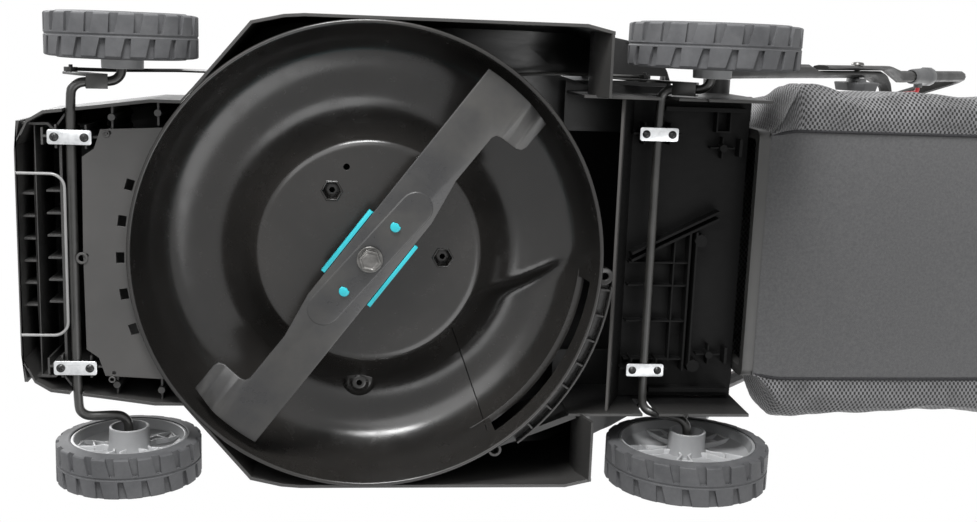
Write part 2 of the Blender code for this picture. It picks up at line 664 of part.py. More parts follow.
def blade_housing():
    """The volute bowl: a turned wall with a channel whose ceiling climbs towards the outlet."""
    steps = 40
    rings = []
    for k in range(steps):
        angle = 360.0 * k / steps
        high = ceiling(angle)
        inner = [(BOWL_INNER, RIM_HEIGHT), (BOWL_INNER - 0.002, RIM_HEIGHT + 0.034),
                 (BOWL_INNER - 0.016, high - 0.022), (CHANNEL_RADIUS + 0.014, high - 0.003),
                 (CHANNEL_RADIUS - 0.014, high), (DISC_DIAMETER / 2 + 0.016, (high + DISC_HEIGHT) / 2 - 0.005),
                 (DISC_DIAMETER / 2 + 0.002, DISC_HEIGHT + 0.002), (DISC_DIAMETER / 2 - 0.004, DISC_HEIGHT),
                 (SHAFT_OPENING / 2, DISC_HEIGHT)]
        outer = [(BOWL_OUTER, RIM_HEIGHT), (BOWL_OUTER - 0.002, RIM_HEIGHT + 0.035),
                 (BOWL_OUTER - 0.0135, high - 0.020), (CHANNEL_RADIUS + 0.015, high + 0.0005),
                 (CHANNEL_RADIUS - 0.015, high + SHEET), (DISC_DIAMETER / 2 - 0.002, DISC_HEIGHT + SHEET + 0.0005),
                 (SHAFT_OPENING / 2, DISC_HEIGHT + SHEET)]
        turn = Matrix.Rotation(math.radians(angle), 3, "Z")
        rings.append([turn @ Vector((r, 0, z)) for r, z in inner + outer[::-1]])
    bowl = add("blade_housing", loft(rings, loop=True), "deck_plastic")
    outlet = arc((0, 0), BOWL_OUTER + 0.02, OUTLET_START, OUTLET_END, 8)
    outlet += arc((0, 0), BOWL_INNER - 0.03, OUTLET_END, OUTLET_START, 8)
    cut(bowl, [prism(outlet, LADDER_HEIGHT + 0.007, CHANNEL_HIGH - 0.004)])
    join(bowl, bowl_ribs())
    holes = [cylinder((x, y, 0), radius, DISC_HEIGHT - 0.01, DISC_HEIGHT + 0.01, steps=6 if radius > 0.004 else 8)
             for x, y, radius in ((0.038, 0.061, 0.0075), (-0.073, -0.004, 0.0075), (0.024, 0.085, 0.003))]
    cut(bowl, holes)
    return bowl


def bowl_ribs():
    """The ladder of ribs outside the rim at the outlet, the bracket at its end and the channel's boss."""
    inner, outer = BOWL_OUTER - 0.0032, BOWL_OUTER + LADDER_DEPTH
    low, high = LADDER_HEIGHT - 0.006, LADDER_HEIGHT + 0.006
    start, end = OUTLET_START, OUTLET_END - 3.0
    rail = arc((0, 0), outer, start, end, 9) + arc((0, 0), outer - RIB, end, start, 9)
    shelf = arc((0, 0), outer - 0.0005, start, end, 9) + arc((0, 0), inner, end, start, 9)
    shapes = [prism(rail, low, high), prism(shelf, high - 0.0022, high - 0.0002)]
    for k in range(int((end - start) / LADDER_STEP) + 1):
        angle = math.radians(start + 1.0 + k * LADDER_STEP)
        way = Vector((math.cos(angle), math.sin(angle)))
        shapes.append(rib(way * inner, way * (outer - 0.0005), low + 0.001, high - 0.001))
    angle = math.radians(start - 2.4)
    centre = Vector((math.cos(angle), math.sin(angle), 0)) * (BOWL_OUTER + 0.0062)
    ring = turned([(0.0035, low), (0.0085, low), (0.0085, high), (0.0035, high)], 12, centre)
    shapes.append(ring)
    boss = (0.008, -0.143)
    top = ceiling(270.0) + 0.001
    shapes.append(cylinder((*boss, 0), 0.009, DISC_HEIGHT + 0.022, top, steps=12))
    return shapes


def floor_height(x):
    """Underside of the bag floor: a ramp behind the bowl, then level over the rear axle."""
    level = FLOOR_TOP - FLOOR_SHEET
    return between([(-BOWL_OUTER - 0.020, RAMP_BOTTOM), (ramp_end(), level), (-1.0, level)], x)[0]


def ramp_end():
    return REAR_PIVOT[0] + CLAMP_HOLES / 2 + 0.008


def floor_rib(start, end, low, thickness=RIB):
    along = Vector(end) - Vector(start)
    side = Vector((-along.y, along.x)).normalized() * thickness / 2
    plan = [Vector(start) + side, Vector(end) + side, Vector(end) - side, Vector(start) - side]
    return loft([[(p.x, p.y, low) for p in plan], [(p.x, p.y, floor_height(p.x) + FLOOR_SHEET / 2) for p in plan]])


def floor_boss(x, y, radius, low):
    return cylinder((x, y, 0), radius, low, floor_height(x) + FLOOR_SHEET / 2, steps=8)


def chute_floor():
    """The ribbed floor between the bowl's outlet and the bag, which the rear axle turns under."""
    half = REAR_HALF_WIDTH - SHEET - GAP
    rear = -DECK_REAR + 0.002
    front = -BOWL_OUTER - 0.020
    level = FLOOR_TOP - FLOOR_SHEET
    profile = [(front, RAMP_BOTTOM), (ramp_end(), level), (rear, level), (rear, FLOOR_TOP),
               (ramp_end() + 0.0012, FLOOR_TOP), (front + 0.0024, RAMP_BOTTOM + 0.001)]
    floor = add("chute_floor", prism(profile, -half, half, SIDE), "deck_plastic")
    low = REAR_PIVOT[1] + ROD / 2 + 0.0012
    shapes = []
    for shift in (0.0, 0.0075):
        shapes.append(floor_rib((-0.273, -0.002 - shift), (-0.364, 0.044 - shift), low, 0.0025))
    for x in (-0.3345, -0.3415):
        shapes.append(floor_rib((x, 0.022), (x, -0.128), low, 0.0022))
    for y in (0.013, -0.1225):
        shapes.append(floor_boss(-0.346, y, 0.007, low))
    shapes.append(floor_rib((-0.319, 0.014), (-0.319, -0.118), low + 0.003, 0.0016))
    for y in (-0.0115, -0.036, -0.0745, -0.116):
        shapes.append(floor_rib((-0.271, y), (-0.336, y), low + 0.0032, 0.0016))
    for side in (1, -1):
        shapes += clamp_posts(REAR_PIVOT, side * REAR_CLAMP_Y, floor_boss, floor_rib)
        shapes.append(floor_boss(-0.363, side * 0.1105, 0.0042, low))
        shapes.append(floor_rib((-0.350, side * 0.1105), (-0.376, side * 0.1105), low + 0.004, 0.0016))
        shapes.append(floor_rib((-0.363, side * 0.1215), (-0.363, side * 0.0995), low + 0.004, 0.0016))
        shapes.append(floor_rib((-0.3815, side * 0.102), (-0.3815, side * 0.120), low + 0.001, 0.0032))
        shapes.append(floor_rib((-0.300, side * (half - 0.010)), (-0.386, side * (half - 0.010)), low + 0.002, 0.0045))
        
    for x in (-0.355, -0.369):
        shapes.append(floor_rib((x, 0.128), (x, half - 0.008), low + 0.002, 0.0016))
    shapes.append(floor_rib((-0.354, 0.1275), (-0.370, 0.1275), low + 0.002, 0.0016))
    join(floor, shapes)
    return floor


def motor():
    """The motor on the bowl's disc, and its shaft down to the blade's adaptor."""
    seat = DISC_HEIGHT + SHEET + GAP
    radius = MOTOR_DIAMETER / 2
    bore = SHAFT_DIAMETER / 2 + GAP
    nose = SHAFT_OPENING / 2 - 0.004
    body = turned([(0, seat + 0.030), (bore, seat + 0.030), (bore, DISC_HEIGHT - 0.001), (nose, DISC_HEIGHT - 0.001),
                   (nose, seat), (radius, seat), (radius, seat + MOTOR_HEIGHT - 0.010),
                   (radius - 0.008, seat + MOTOR_HEIGHT), (0, seat + MOTOR_HEIGHT)], 20)
    add("motor_housing", body, "motor_steel")
    shaft = [(0, shaft_bottom()), (SHAFT_DIAMETER / 2, shaft_bottom()),
             (SHAFT_DIAMETER / 2, seat + 0.030 - GAP), (0, seat + 0.030 - GAP)]
    add("motor_shaft", turned(shaft, 16), "bolt_steel")


def shaft_bottom():
    return BLADE_TOP + GAP + ADAPTOR_PLATE + GAP


def blade_frame():
    """From the blade's own axes, along it and towards its leading edge, to the mower's."""
    return Matrix.Rotation(math.radians(BLADE_HEADING), 4, "Z") @ Matrix.Diagonal((1, -1, 1, 1))


def blade_outline():
    """One half of the blade in plan: leading edge on one side, cranked wing on the other."""
    radius = CUT_DIAMETER / 2
    lead = BLADE_WIDTH / 2
    trail = lead - BLADE_WAIST
    wing = lead - WING_WIDTH
    far = math.sqrt(radius ** 2 - wing ** 2)
    half = [(EMBOSS_LENGTH / 2 - 0.019, -lead), (EMBOSS_LENGTH / 2 + 0.028, trail)]
    root = far - WING_LENGTH + 0.006
    half += [(root - 0.004, trail - 0.0012), (root, trail - 0.008), (root + 0.001, wing + 0.006), (root + 0.010, wing + 0.001)]
    end = math.degrees(math.asin(wing / radius))
    start = math.degrees(math.asin((lead - 0.001) / radius))
    half += arc((0, 0), radius, end, start, 6)
    return half


def blade():
    half = blade_outline()
    outline = half + [(-u, -n) for u, n in half]
    frame = blade_frame()
    shape = prism(outline, BLADE_HEIGHT, BLADE_TOP, frame)
    trail = BLADE_WIDTH / 2 - BLADE_WAIST
    for vert in shape.verts:
        place = frame.inverted() @ vert.co
        side = 1 if place.x > 0 else -1
        behind = trail - place.y * side
        if behind > 0.004 and abs(place.x) > CUT_DIAMETER * 0.35:
            vert.co.z += WING_LIFT * min(behind / (WING_WIDTH - BLADE_WAIST), 1.0)
    bmesh.ops.triangulate(shape, faces=shape.faces)
    bmesh.ops.recalc_face_normals(shape, faces=shape.faces)
    piece = add("blade", shape, "blade_steel")
    stadium = rounded([(a * EMBOSS_LENGTH / 2, b * EMBOSS_WIDTH / 2) for a, b in ((-1, -1), (1, -1), (1, 1), (-1, 1))],
                      EMBOSS_WIDTH / 2 - 0.0002, 5)
    turn = frame @ Matrix.Rotation(math.radians(EMBOSS_TURN), 4, "Z")
    join(piece, [prism(stadium, BLADE_HEIGHT - EMBOSS_DEPTH, BLADE_HEIGHT + 0.001, turn)])
    holes = [cylinder((0, 0, 0), BLADE_BOLT / 2 + GAP, 0.03, 0.08, steps=14)]
    for side in (1, -1):
        place = frame @ Vector((side * PEG_SPACING / 2, 0, 0))
        holes.append(cylinder(place, PEG_DIAMETER / 2 + GAP, 0.03, 0.08, steps=12))
    cut(piece, holes)


def blade_adaptor():
    """The hub above the blade: its plate, the lips along the blade's edges, two pegs and the boss."""
    frame = blade_frame()
    low = BLADE_TOP + GAP
    high = low + ADAPTOR_PLATE
    lip_in = BLADE_WIDTH / 2 + GAP
    lip_out = lip_in + ADAPTOR_LIP
    length = ADAPTOR_LENGTH / 2
    drop = low - BLADE_THICKNESS
    profile = [(-lip_out, drop), (-lip_in, drop), (-lip_in, low), (lip_in, low), (lip_in, drop), (lip_out, drop),
               (lip_out, high), (-lip_out, high)]
    rings = [[frame @ Vector((u, n, z)) for n, z in profile] for u in (-length, length)]
    hub = add("blade_adaptor", loft(rings), "accent_plastic")
    boss = turned([(SHAFT_DIAMETER / 2 + GAP, high - 0.001), (0.020, high - 0.001), (0.018, DISC_HEIGHT - 0.006),
                   (SHAFT_DIAMETER / 2 + GAP, DISC_HEIGHT - 0.006)], 16)
    pegs = [cylinder(frame @ Vector((side * PEG_SPACING / 2, 0, 0)), PEG_DIAMETER / 2, BLADE_HEIGHT - EMBOSS_DEPTH, low + 0.001,
                     steps=8) for side in (1, -1)]
    ears = [cylinder(frame @ Vector((side * PEG_SPACING / 2, 0, 0)), PEG_DIAMETER / 2 + 0.004, low, high, steps=8)
            for side in (1, -1)]
    join(hub, [boss] + pegs + ears)
    cut(hub, [cylinder((0, 0, 0), BLADE_BOLT / 2 + GAP, drop - 0.01, high + 0.0005, steps=14),
              cylinder((0, 0, 0), SHAFT_DIAMETER / 2 + GAP, high, DISC_HEIGHT, steps=16)])


def blade_bolt():
    under = BLADE_HEIGHT - EMBOSS_DEPTH - GAP
    head = under - 0.0022
    bolt = add("blade_bolt", turned([(0, head - 0.001), (WASHER_DIAMETER / 2 - 0.001, head + 0.0002), (WASHER_DIAMETER / 2, under),
                                     (BLADE_BOLT / 2, under), (BLADE_BOLT / 2, shaft_bottom() - GAP),
                                     (0, shaft_bottom() - GAP)], 16), "bolt_steel")
    join(bolt, [cylinder((0, 0, 0), HEX_WIDTH / math.sqrt(3), head - 0.0065, head + 0.001, steps=6)])


def wheel_places():
    return {
        "front": {"radius": FRONT_RADIUS, "width": FRONT_WIDTH, "inner": FRONT_INNER, "x": FRONT_X},
        "rear": {"radius": REAR_RADIUS, "width": REAR_WIDTH, "inner": REAR_INNER, "x": REAR_X},
    }


def wheel_ring(radius, height, shift, tread, side):
    """One ring of a tyre's skin: two points on each tread block and one in the groove after it."""
    ring = []
    for block in range(TREAD_BLOCKS):
        for k, share in enumerate((0.0, 0.62, 0.80) if tread else (0.0, 1 / 3, 2 / 3)):
            angle = 2 * math.pi * (block + share + shift) / TREAD_BLOCKS
            r = radius - (TREAD_DEPTH if tread and k == 2 else 0.0)
            ring.append((r * math.cos(angle), side * height, r * math.sin(angle)))
    return ring


def tyre(name, place, side):
    radius, width = place["radius"], place["width"]
    bore = radius - TYRE_WALL
    levels = [
        (bore, 0.0, 0.32, False), (radius - 0.0005, 0.0015, 0.0, True), (radius, width * 0.48, 0.14, True),
        (radius, width * 0.52, 0.50, True), (radius - 0.0005, width - 0.0015, 0.64, True), (bore, width, 0.32, False),
    ]
    rings = []
    for r, height, shift, tread in levels:
        ring = wheel_ring(r, height, shift, tread, side)
        rings.append([Vector(p) + Vector((place["x"], side * place["inner"], radius)) for p in ring])
    add(name, loft(rings, loop=True), "tyre_rubber", (place["x"], side * (place["inner"] + width / 2), radius))


def wheel_disc(name, place, side):
    """Hub, dished web and rim in one moulding, with five pocketed spokes on the inner side."""
    radius, width = place["radius"], place["width"]
    rim = (radius - TYRE_WALL) * math.cos(math.pi / (3 * TREAD_BLOCKS)) - GAP
    hub = HUB_DIAMETER / 2
    bore = ROD / 2 + GAP
    web = width * 0.42
    profile = [(bore, -HUB_PROUD + 0.010), (hub - 0.0028, -HUB_PROUD + 0.010), (hub - 0.0028, -HUB_PROUD), (hub, -HUB_PROUD),
               (hub + 0.001, web - 0.004), (rim - 0.004, web - 0.004), (rim - 0.0025, 0.001), (rim, 0.001),
               (rim, width - 0.001), (rim - 0.0025, width - 0.001), (rim - 0.0040, web), (hub - 0.003, width - 0.006),
               (bore, width - 0.006)]
    centre = Vector((place["x"], side * place["inner"], radius))
    mirror = Matrix.Translation(centre) @ Matrix.Diagonal((1, side, 1, 1))
    shape = turned(profile, 20, axis="Y")
    bmesh.ops.transform(shape, matrix=mirror, verts=shape.verts)
    bmesh.ops.recalc_face_normals(shape, faces=shape.faces)
    disc = add(name, shape, "wheel_plastic", (place["x"], side * (place["inner"] + width / 2), radius))
    spokes, pockets = [], []
    for k in range(SPOKES):
        turn = mirror @ Matrix.Rotation(2 * math.pi * k / SPOKES, 4, "Y") @ SIDE
        near, far = hub - 0.0005, rim - 0.0015
        middle = (near + far) / 2
        kite = [(near, -0.0055), (near + 0.007, -0.0028), (middle - 0.004, -0.0072), (far, -0.0085),
                (far, 0.0070), (middle + 0.001, 0.0072), (near + 0.007, 0.0028), (near, 0.0055)]
        spokes.append(prism(kite, web - 0.0095, web + 0.001, turn))
        hole = [(middle - 0.0045, -0.0050), (far - 0.005, -0.0058), (far - 0.007, 0.0046), (middle, 0.0050)]
        pockets.append(prism(hole, web - 0.012, web - 0.0015, turn))
    join(disc, spokes)
    cut(disc, pockets)


def hub_cap(name, place, side):
    rim = place["inner"] + place["width"] - 0.006 + GAP
    profile = [(0, rim), (HUB_DIAMETER / 2 - 0.004, rim), (HUB_DIAMETER / 2 - 0.004, rim + 0.003), (0.010, rim + 0.0065),
               (0, rim + 0.0065)]
    profile = [(r, side * y) for r, y in profile]
    add(name, turned(profile, 14, (place["x"], 0, place["radius"]), "Y"), "knob_plastic",
        (place["x"], side * (place["inner"] + place["width"] / 2), place["radius"]))


def half_rings(path, radius, sides, normal):
    """Rings of a rod along half of a mirrored path, which ends on the mirror plane."""
    path = [Vector(point) for point in path]
    up = Vector(normal)
    rings = []
    for k, point in enumerate(path):
        ahead = (path[k + 1] - point).normalized() if k + 1 < len(path) else Vector((0, -1, 0))
        behind = (point - path[k - 1]).normalized() if k else ahead
        tangent = (ahead + behind).normalized()
        up = (up - tangent * up.dot(tangent)).normalized()
        across = tangent.cross(up)
        wide, high = radius[k] if isinstance(radius, list) else (radius, radius)
        bend = ahead - behind
        stretch = 1.0 / max(math.cos(ahead.angle(behind) / 2), 0.5) if bend.length > 1e-6 else 1.0
        ring = []
        for side in range(sides):
            angle = 2 * math.pi * (side + 0.5) / sides
            offset = across * wide * math.cos(angle) + up * high * math.sin(angle)
            if stretch > 1.0:
                outward = bend.normalized()
                offset += outward * offset.dot(outward) * (stretch - 1.0)
            ring.append(point + offset)
        rings.append(ring)
    return rings


def mirrored(rings):
    """The rings of one half, then their mirror images back out again."""
    other = [[Vector((p.x, -p.y, p.z)) for p in ring] for ring in rings[-2::-1]]
    return rings + other


def axle(name, pivot, wheel, arm_y, stub_y):
    """A bent rod across the deck, with a crank and a stub for a wheel at each end."""
    corners = [(wheel[0], stub_y, wheel[1]), (wheel[0], arm_y, wheel[1]), (pivot[0], arm_y, pivot[1]), (pivot[0], 0, pivot[1])]
    path = rounded(corners, ROD_BEND, 3)
    add(name, loft(mirrored(half_rings(path, ROD / 2, 10, (0, 0, 1)))), "axle_steel", (pivot[0], 0, pivot[1]))


def clamp(name, pivot, y):
    """A zinc strap under a rod, and the heads of its two screws."""
    high = pivot[1] - ROD / 2 - GAP
    long, wide = CLAMP_LENGTH / 2, CLAMP_WIDTH / 2
    outline = rounded([(pivot[0] + a * long, y + b * wide) for a, b in ((-1, -1), (1, -1), (1, 1), (-1, 1))], 0.002, 1)
    strap = add(name, prism(outline, high - CLAMP_THICKNESS, high), "zinc_steel")
    heads = []
    for side in (1, -1):
        x = pivot[0] + side * CLAMP_HOLES / 2
        low = high - CLAMP_THICKNESS
        heads.append(turned([(0, low - 0.0022), (CLAMP_SCREW / 2 - 0.001, low - 0.0022), (CLAMP_SCREW / 2, low - 0.0008),
                             (CLAMP_SCREW / 2, low + 0.0005), (0, low + 0.0005)], 8, (x, y, 0)))
    join(strap, heads)


def plate_y(arm_y):
    """The inner face of the plate that lies along a crank and carries the link's pin."""
    return arm_y + ROD / 2 + GAP


def link_y(arm_y):
    return plate_y(arm_y) + PLATE + GAP + LINK / 2


def arm_channel(pivot, wheel, arm_y, reach):
    """A channel of sheet folded round a crank, open upwards, with its outer side at the given Y."""
    start, end = Vector((pivot[0], 0, pivot[1])), Vector((wheel[0], 0, wheel[1]))
    along = (end - start).normalized()
    down = Vector((-along.z, 0, along.x))
    if down.z > 0:
        down = -down
    inside = ROD / 2 + GAP
    wall = 0.0015
    outer = reach - arm_y
    section = [(-inside, -0.004), (-inside, inside), (inside, inside), (inside, -0.004), (outer, -0.004), (outer, inside + wall),
               (-inside - wall, inside + wall), (-inside - wall, -0.004)]
    rings = []
    for share in (ROD_BEND + 0.001, (end - start).length - ROD_BEND - 0.001):
        base = start + along * share
        rings.append([base + Vector((0, arm_y + y, 0)) + down * z for y, z in section])
    return loft(rings)


def link_bracket(name, pivot, wheel, arm_y):
    """Plate fixed along a crank, with the pin for the link that joins both axles."""
    inner = plate_y(arm_y)
    outer = inner + PLATE
    pin = (pivot[0] + PIN_OFFSET[0], pivot[1] + PIN_OFFSET[1])
    along = (Vector(wheel) - Vector(pivot))
    near, far = Vector(pivot) + along * 0.30, Vector(pivot) + along * 0.70
    outline = [(near.x, near.y - 0.002), (far.x, far.y - 0.002), (far.x, far.y + 0.004)]
    outline += arc(pin, 0.0075, 150, -20, 6) + [(near.x + 0.006, near.y + 0.004)]
    plate = add(name, prism(outline, inner, outer, SIDE), "wheel_plastic", (pivot[0], 0, pivot[1]))
    stud = cylinder((pin[0], 0, pin[1]), PIN / 2, inner + 0.001, outer + LINK + 2 * GAP + 0.002, "Y", 8)
    join(plate, [arm_channel(pivot, wheel, arm_y, outer), stud])
    return plate


def height_lever():
    """The hand lever that stands on the rear bracket and comes up through the deck's slot."""
    inner = plate_y(REAR_ARM_Y)
    lean = math.radians(LEVER_LEAN)
    way = Vector((math.sin(lean), math.cos(lean)))
    side = Vector((way.y, -way.x))
    foot = Vector(REAR_PIVOT) + way * 0.014
    top = Vector(REAR_PIVOT) + way * LEVER_LENGTH
    return prism([foot + side * 0.009, foot - side * 0.009, top - side * 0.006, top + side * 0.006], inner, inner + PLATE, SIDE)


def lever_knob():
    lean = math.radians(LEVER_LEAN)
    way = Vector((math.sin(lean), math.cos(lean)))
    side = Vector((way.y, -way.x))
    top = Vector(REAR_PIVOT) + way * LEVER_LENGTH
    low = top + way * GAP
    high = top + way * LEVER_KNOB
    middle = plate_y(REAR_ARM_Y) + PLATE / 2 - LEVER_OFFSET
    rings = []
    for share, half, thick in ((0.0, 0.008, 0.0045), (0.15, 0.010, 0.0050), (0.75, 0.013, 0.0050), (1.0, 0.009, 0.0035)):
        centre = low + (high - low) * share
        corners = rounded([(a * half, b * thick) for a, b in ((-1, -1), (1, -1), (1, 1), (-1, 1))], thick * 0.6, 2)
        rings.append([(centre.x + side.x * a, middle + b, centre.y + side.y * a) for a, b in corners])
    add("lever_knob", loft(rings), "knob_plastic", (REAR_PIVOT[0], 0, REAR_PIVOT[1]))


def link_rod():
    """The long thin rod that makes the front axle follow the rear one."""
    front = Vector((FRONT_PIVOT[0] + PIN_OFFSET[0], link_y(FRONT_ARM_Y), FRONT_PIVOT[1] + PIN_OFFSET[1]))
    rear = Vector((REAR_PIVOT[0] + PIN_OFFSET[0], link_y(REAR_ARM_Y), REAR_PIVOT[1] + PIN_OFFSET[1]))
    corners = [front - Vector((0.004, 0, 0)), (FRONT_X + 0.018, front.y, front.z), (FRONT_X - 0.040, front.y, rear.z),
               (0.0, front.y, rear.z), (REAR_X + 0.150, rear.y, rear.z), rear + Vector((0.004, 0, 0))]
    link = add("link_rod", rod(rounded(corners, 0.012, 2), LINK / 2, 6), "axle_steel", front)
    bore = PIN / 2 + 0.0006
    eyes, holes = [], []
    for end in (front, rear):
        low, high = end.y - LINK / 2, end.y + LINK / 2
        eyes.append(cylinder((end.x, 0, end.z), 0.0065, low, high, "Y", 10))
        holes.append(cylinder((end.x, 0, end.z), bore, low - 0.005, high + 0.005, "Y", 8))
    join(link, eyes)
    cut(link, holes)


def handle_point(along, across, rise=0.0):
    """A point on the handle: distance up the tubes from the pivot, Y, and distance forward of the tubes."""
    angle = math.radians(HANDLE_ANGLE)
    way, up = Vector((-math.cos(angle), 0, math.sin(angle))), Vector((math.sin(angle), 0, math.cos(angle)))
    return Vector((HANDLE_PIVOT[0], across, HANDLE_PIVOT[1])) + way * along + up * rise


def handle_normal():
    return handle_point(0, 0, 1) - handle_point(0, 0, 0)


def along_y(centre, radius, low, high, steps=10):
    """A cylinder along Y through a point, between two values of Y given in either order."""
    low, high = sorted((low, high))
    return cylinder((centre.x, 0, centre.z), radius, low, high, "Y", steps)


def joint_faces():
    """The Y of the lower tube's inner face, the face between the tubes and the upper tube's outer face."""
    inner = HANDLE_HALF_WIDTH - TUBE / 2
    return inner, inner + TUBE_FLAT + GAP / 2, inner + TUBE_FLAT + GAP + END_FLAT


def lower_handle():
    half = TUBE / 2
    inner = joint_faces()[0]
    flat_y = inner + TUBE_FLAT / 2
    tube_y = inner + TUBE_FLAT - half
    flat = (TUBE_FLAT / 2, half * 1.22)
    full = (half, half)
    lead = [(-0.012, HANDLE_HALF_WIDTH, full), (END_ALONG - 0.046, HANDLE_HALF_WIDTH, full), (END_ALONG - 0.014, flat_y, flat),
            (JOINT_ALONG + 0.040, flat_y, flat), (JOINT_ALONG + 0.066, tube_y, full)]
    bend = rounded([handle_point(JOINT_ALONG + 0.066, tube_y), handle_point(LOWER_BEND_ALONG, tube_y),
                    handle_point(LOWER_BEND_ALONG, 0)], LOWER_BEND, 4)
    path = [handle_point(s, y) for s, y, _ in lead] + [Vector(p) for p in bend[1:]]
    sizes = [size for _, _, size in lead] + [full] * (len(bend) - 1)
    tube = add("lower_handle", loft(mirrored(half_rings(path, sizes, 10, handle_normal()))), "handle_paint", pivot_origin())
    holes = []
    for side in (1, -1):
        for s in (0.0, JOINT_ALONG):
            holes.append(along_y(handle_point(s, 0), HANDLE_BOLT / 2 + GAP, side * 0.16, side * 0.21))
    cut(tube, holes)


def pivot_origin():
    return (HANDLE_PIVOT[0], 0.0, HANDLE_PIVOT[1])


def joint_origin():
    return handle_point(JOINT_ALONG, 0)


def upper_path():
    """Half of the upper handle's path and its sizes: a flattened end, the straight tube, the corner and the grip bar."""
    half = TUBE / 2
    _, face, outer = joint_faces()
    flat = (END_FLAT / 2, half * 1.25)
    flat_y = outer - END_FLAT / 2
    lead = [(END_ALONG, flat_y, flat), (LOWER_BEND_ALONG - 0.012, flat_y, flat), (LOWER_BEND_ALONG + 0.042, UPPER_HALF_WIDTH, (half, half))]
    corners = [handle_point(LOWER_BEND_ALONG + 0.042, UPPER_HALF_WIDTH), handle_point(CORNER_ALONG, UPPER_HALF_WIDTH),
               handle_point(CORNER_ALONG + GRIP_LEAN, GRIP_HALF_WIDTH, GRIP_RISE), handle_point(CORNER_ALONG + GRIP_LEAN, 0, GRIP_RISE)]
    bend = rounded(corners, CORNER_BEND, 4)
    path = [handle_point(s, y) for s, y, _ in lead] + [Vector(p) for p in bend[1:]]
    sizes = [size for _, _, size in lead] + [(half, half)] * (len(bend) - 1)
    return path, sizes


def upper_handle():
    path, sizes = upper_path()
    tube = add("upper_handle", loft(mirrored(half_rings(path, sizes, 10, handle_normal()))), "handle_paint", joint_origin())
    holes = [along_y(handle_point(JOINT_ALONG, 0), HANDLE_BOLT / 2 + GAP, side * 0.16, side * 0.21) for side in (1, -1)]
    cut(tube, holes)


def sleeve(rings_out, rings_in):
    """A closed tube wall between two sets of rings round the same path."""
    return loft(rings_out + rings_in[::-1], loop=True)


def grip_sleeve():
    """Foam round the grip bar and its two slanted arms."""
    path, _ = upper_path()
    outer = half_rings(path, GRIP_DIAMETER / 2, 10, handle_normal())
    inner = half_rings(path, TUBE / 2 + GAP, 10, handle_normal())
    first = len(path) - 6
    start = path[first] + (path[first + 1] - path[first]).normalized() * 0.004
    shift = start - path[first]
    for rings in (outer, inner):
        rings[first] = [p + shift for p in rings[first]]
    add("grip_sleeve", sleeve(mirrored(outer[first:]), mirrored(inner[first:])), "grip_foam", joint_origin())


def collar(name, side):
    """The moulded housing round the upper tube that the bail turns in."""
    stations = [(0.640, 0.0105), (0.652, 0.0118), (0.700, 0.0132), (0.703, 0.0146), (0.722, 0.0146), (0.725, 0.0112)]
    offset = BAIL_ALONG - 0.677
    rings_out, rings_in = [], []
    across = Vector((0, 1, 0))
    up = handle_normal()
    for s, radius in stations:
        centre = handle_point(s + offset, side * UPPER_HALF_WIDTH)
        for rings, r in ((rings_out, radius), (rings_in, (TUBE / 2 + GAP) / math.cos(math.pi / 12))):
            ring = []
            for k in range(12):
                angle = 2 * math.pi * (k + 0.5) / 12
                ring.append(centre + across * r * math.cos(angle) + up * r * math.sin(angle))
            rings.append(ring)
    housing = add(name, sleeve(rings_out, [rings_in[0], rings_in[-1]]), "knob_plastic", joint_origin())
    axis = handle_point(BAIL_ALONG, 0)
    face = UPPER_HALF_WIDTH - BAIL_BOSS_REACH
    join(housing, [along_y(axis, BAIL_BOSS / 2, side * face, side * (UPPER_HALF_WIDTH - TUBE / 2 - 0.001))])
    cut(housing, [along_y(axis, BAIL_ROD / 2 + GAP, side * (face - 0.01), side * (face + BAIL_SOCKET))])


def bail_lever():
    """The looped lever that turns in the two collars and is squeezed up against the grip bar."""
    face = UPPER_HALF_WIDTH - BAIL_BOSS_REACH
    reach = math.hypot(CORNER_ALONG + GRIP_LEAN - BAIL_ALONG, GRIP_RISE)
    corners = [handle_point(BAIL_ALONG, face + BAIL_SOCKET - GAP), handle_point(BAIL_ALONG, face - 0.008),
               handle_point(BAIL_ALONG + BAIL_LEAN, BAIL_HALF_WIDTH, reach), handle_point(BAIL_ALONG + BAIL_LEAN, 0, reach)]
    path = [Vector(p) for p in rounded(corners, [0, 0.006, 0.025, 0], 3)]
    add("bail_lever", loft(mirrored(half_rings(path, BAIL_ROD / 2, 8, handle_normal()))), "bail_paint", handle_point(BAIL_ALONG, 0))


def fluted_knob(radius, low, high, centre, side, lobes=8):
    """A hand knob with a scalloped rim, a recessed face and a neck, between two values of Y."""
    def outline(size, depth):
        ring = []
        for k in range(lobes * 3):
            angle = 2 * math.pi * k / (lobes * 3)
            r = size - depth * (0.5 - 0.5 * math.cos(angle * lobes))
            ring.append((centre.x + r * math.cos(angle), centre.z + r * math.sin(angle)))
        return ring
    step = high - low
    levels = [(low, radius * 0.42, 0.0), (low + step * 0.28, radius * 0.42, 0.0), (low + step * 0.32, radius, radius * 0.12),
              (high, radius * 0.90, radius * 0.10)]
    rings = []
    for level, size, depth in levels:
        rings.append([Vector((x, side * level, z)) for x, z in outline(size, depth)])
    return loft(rings)


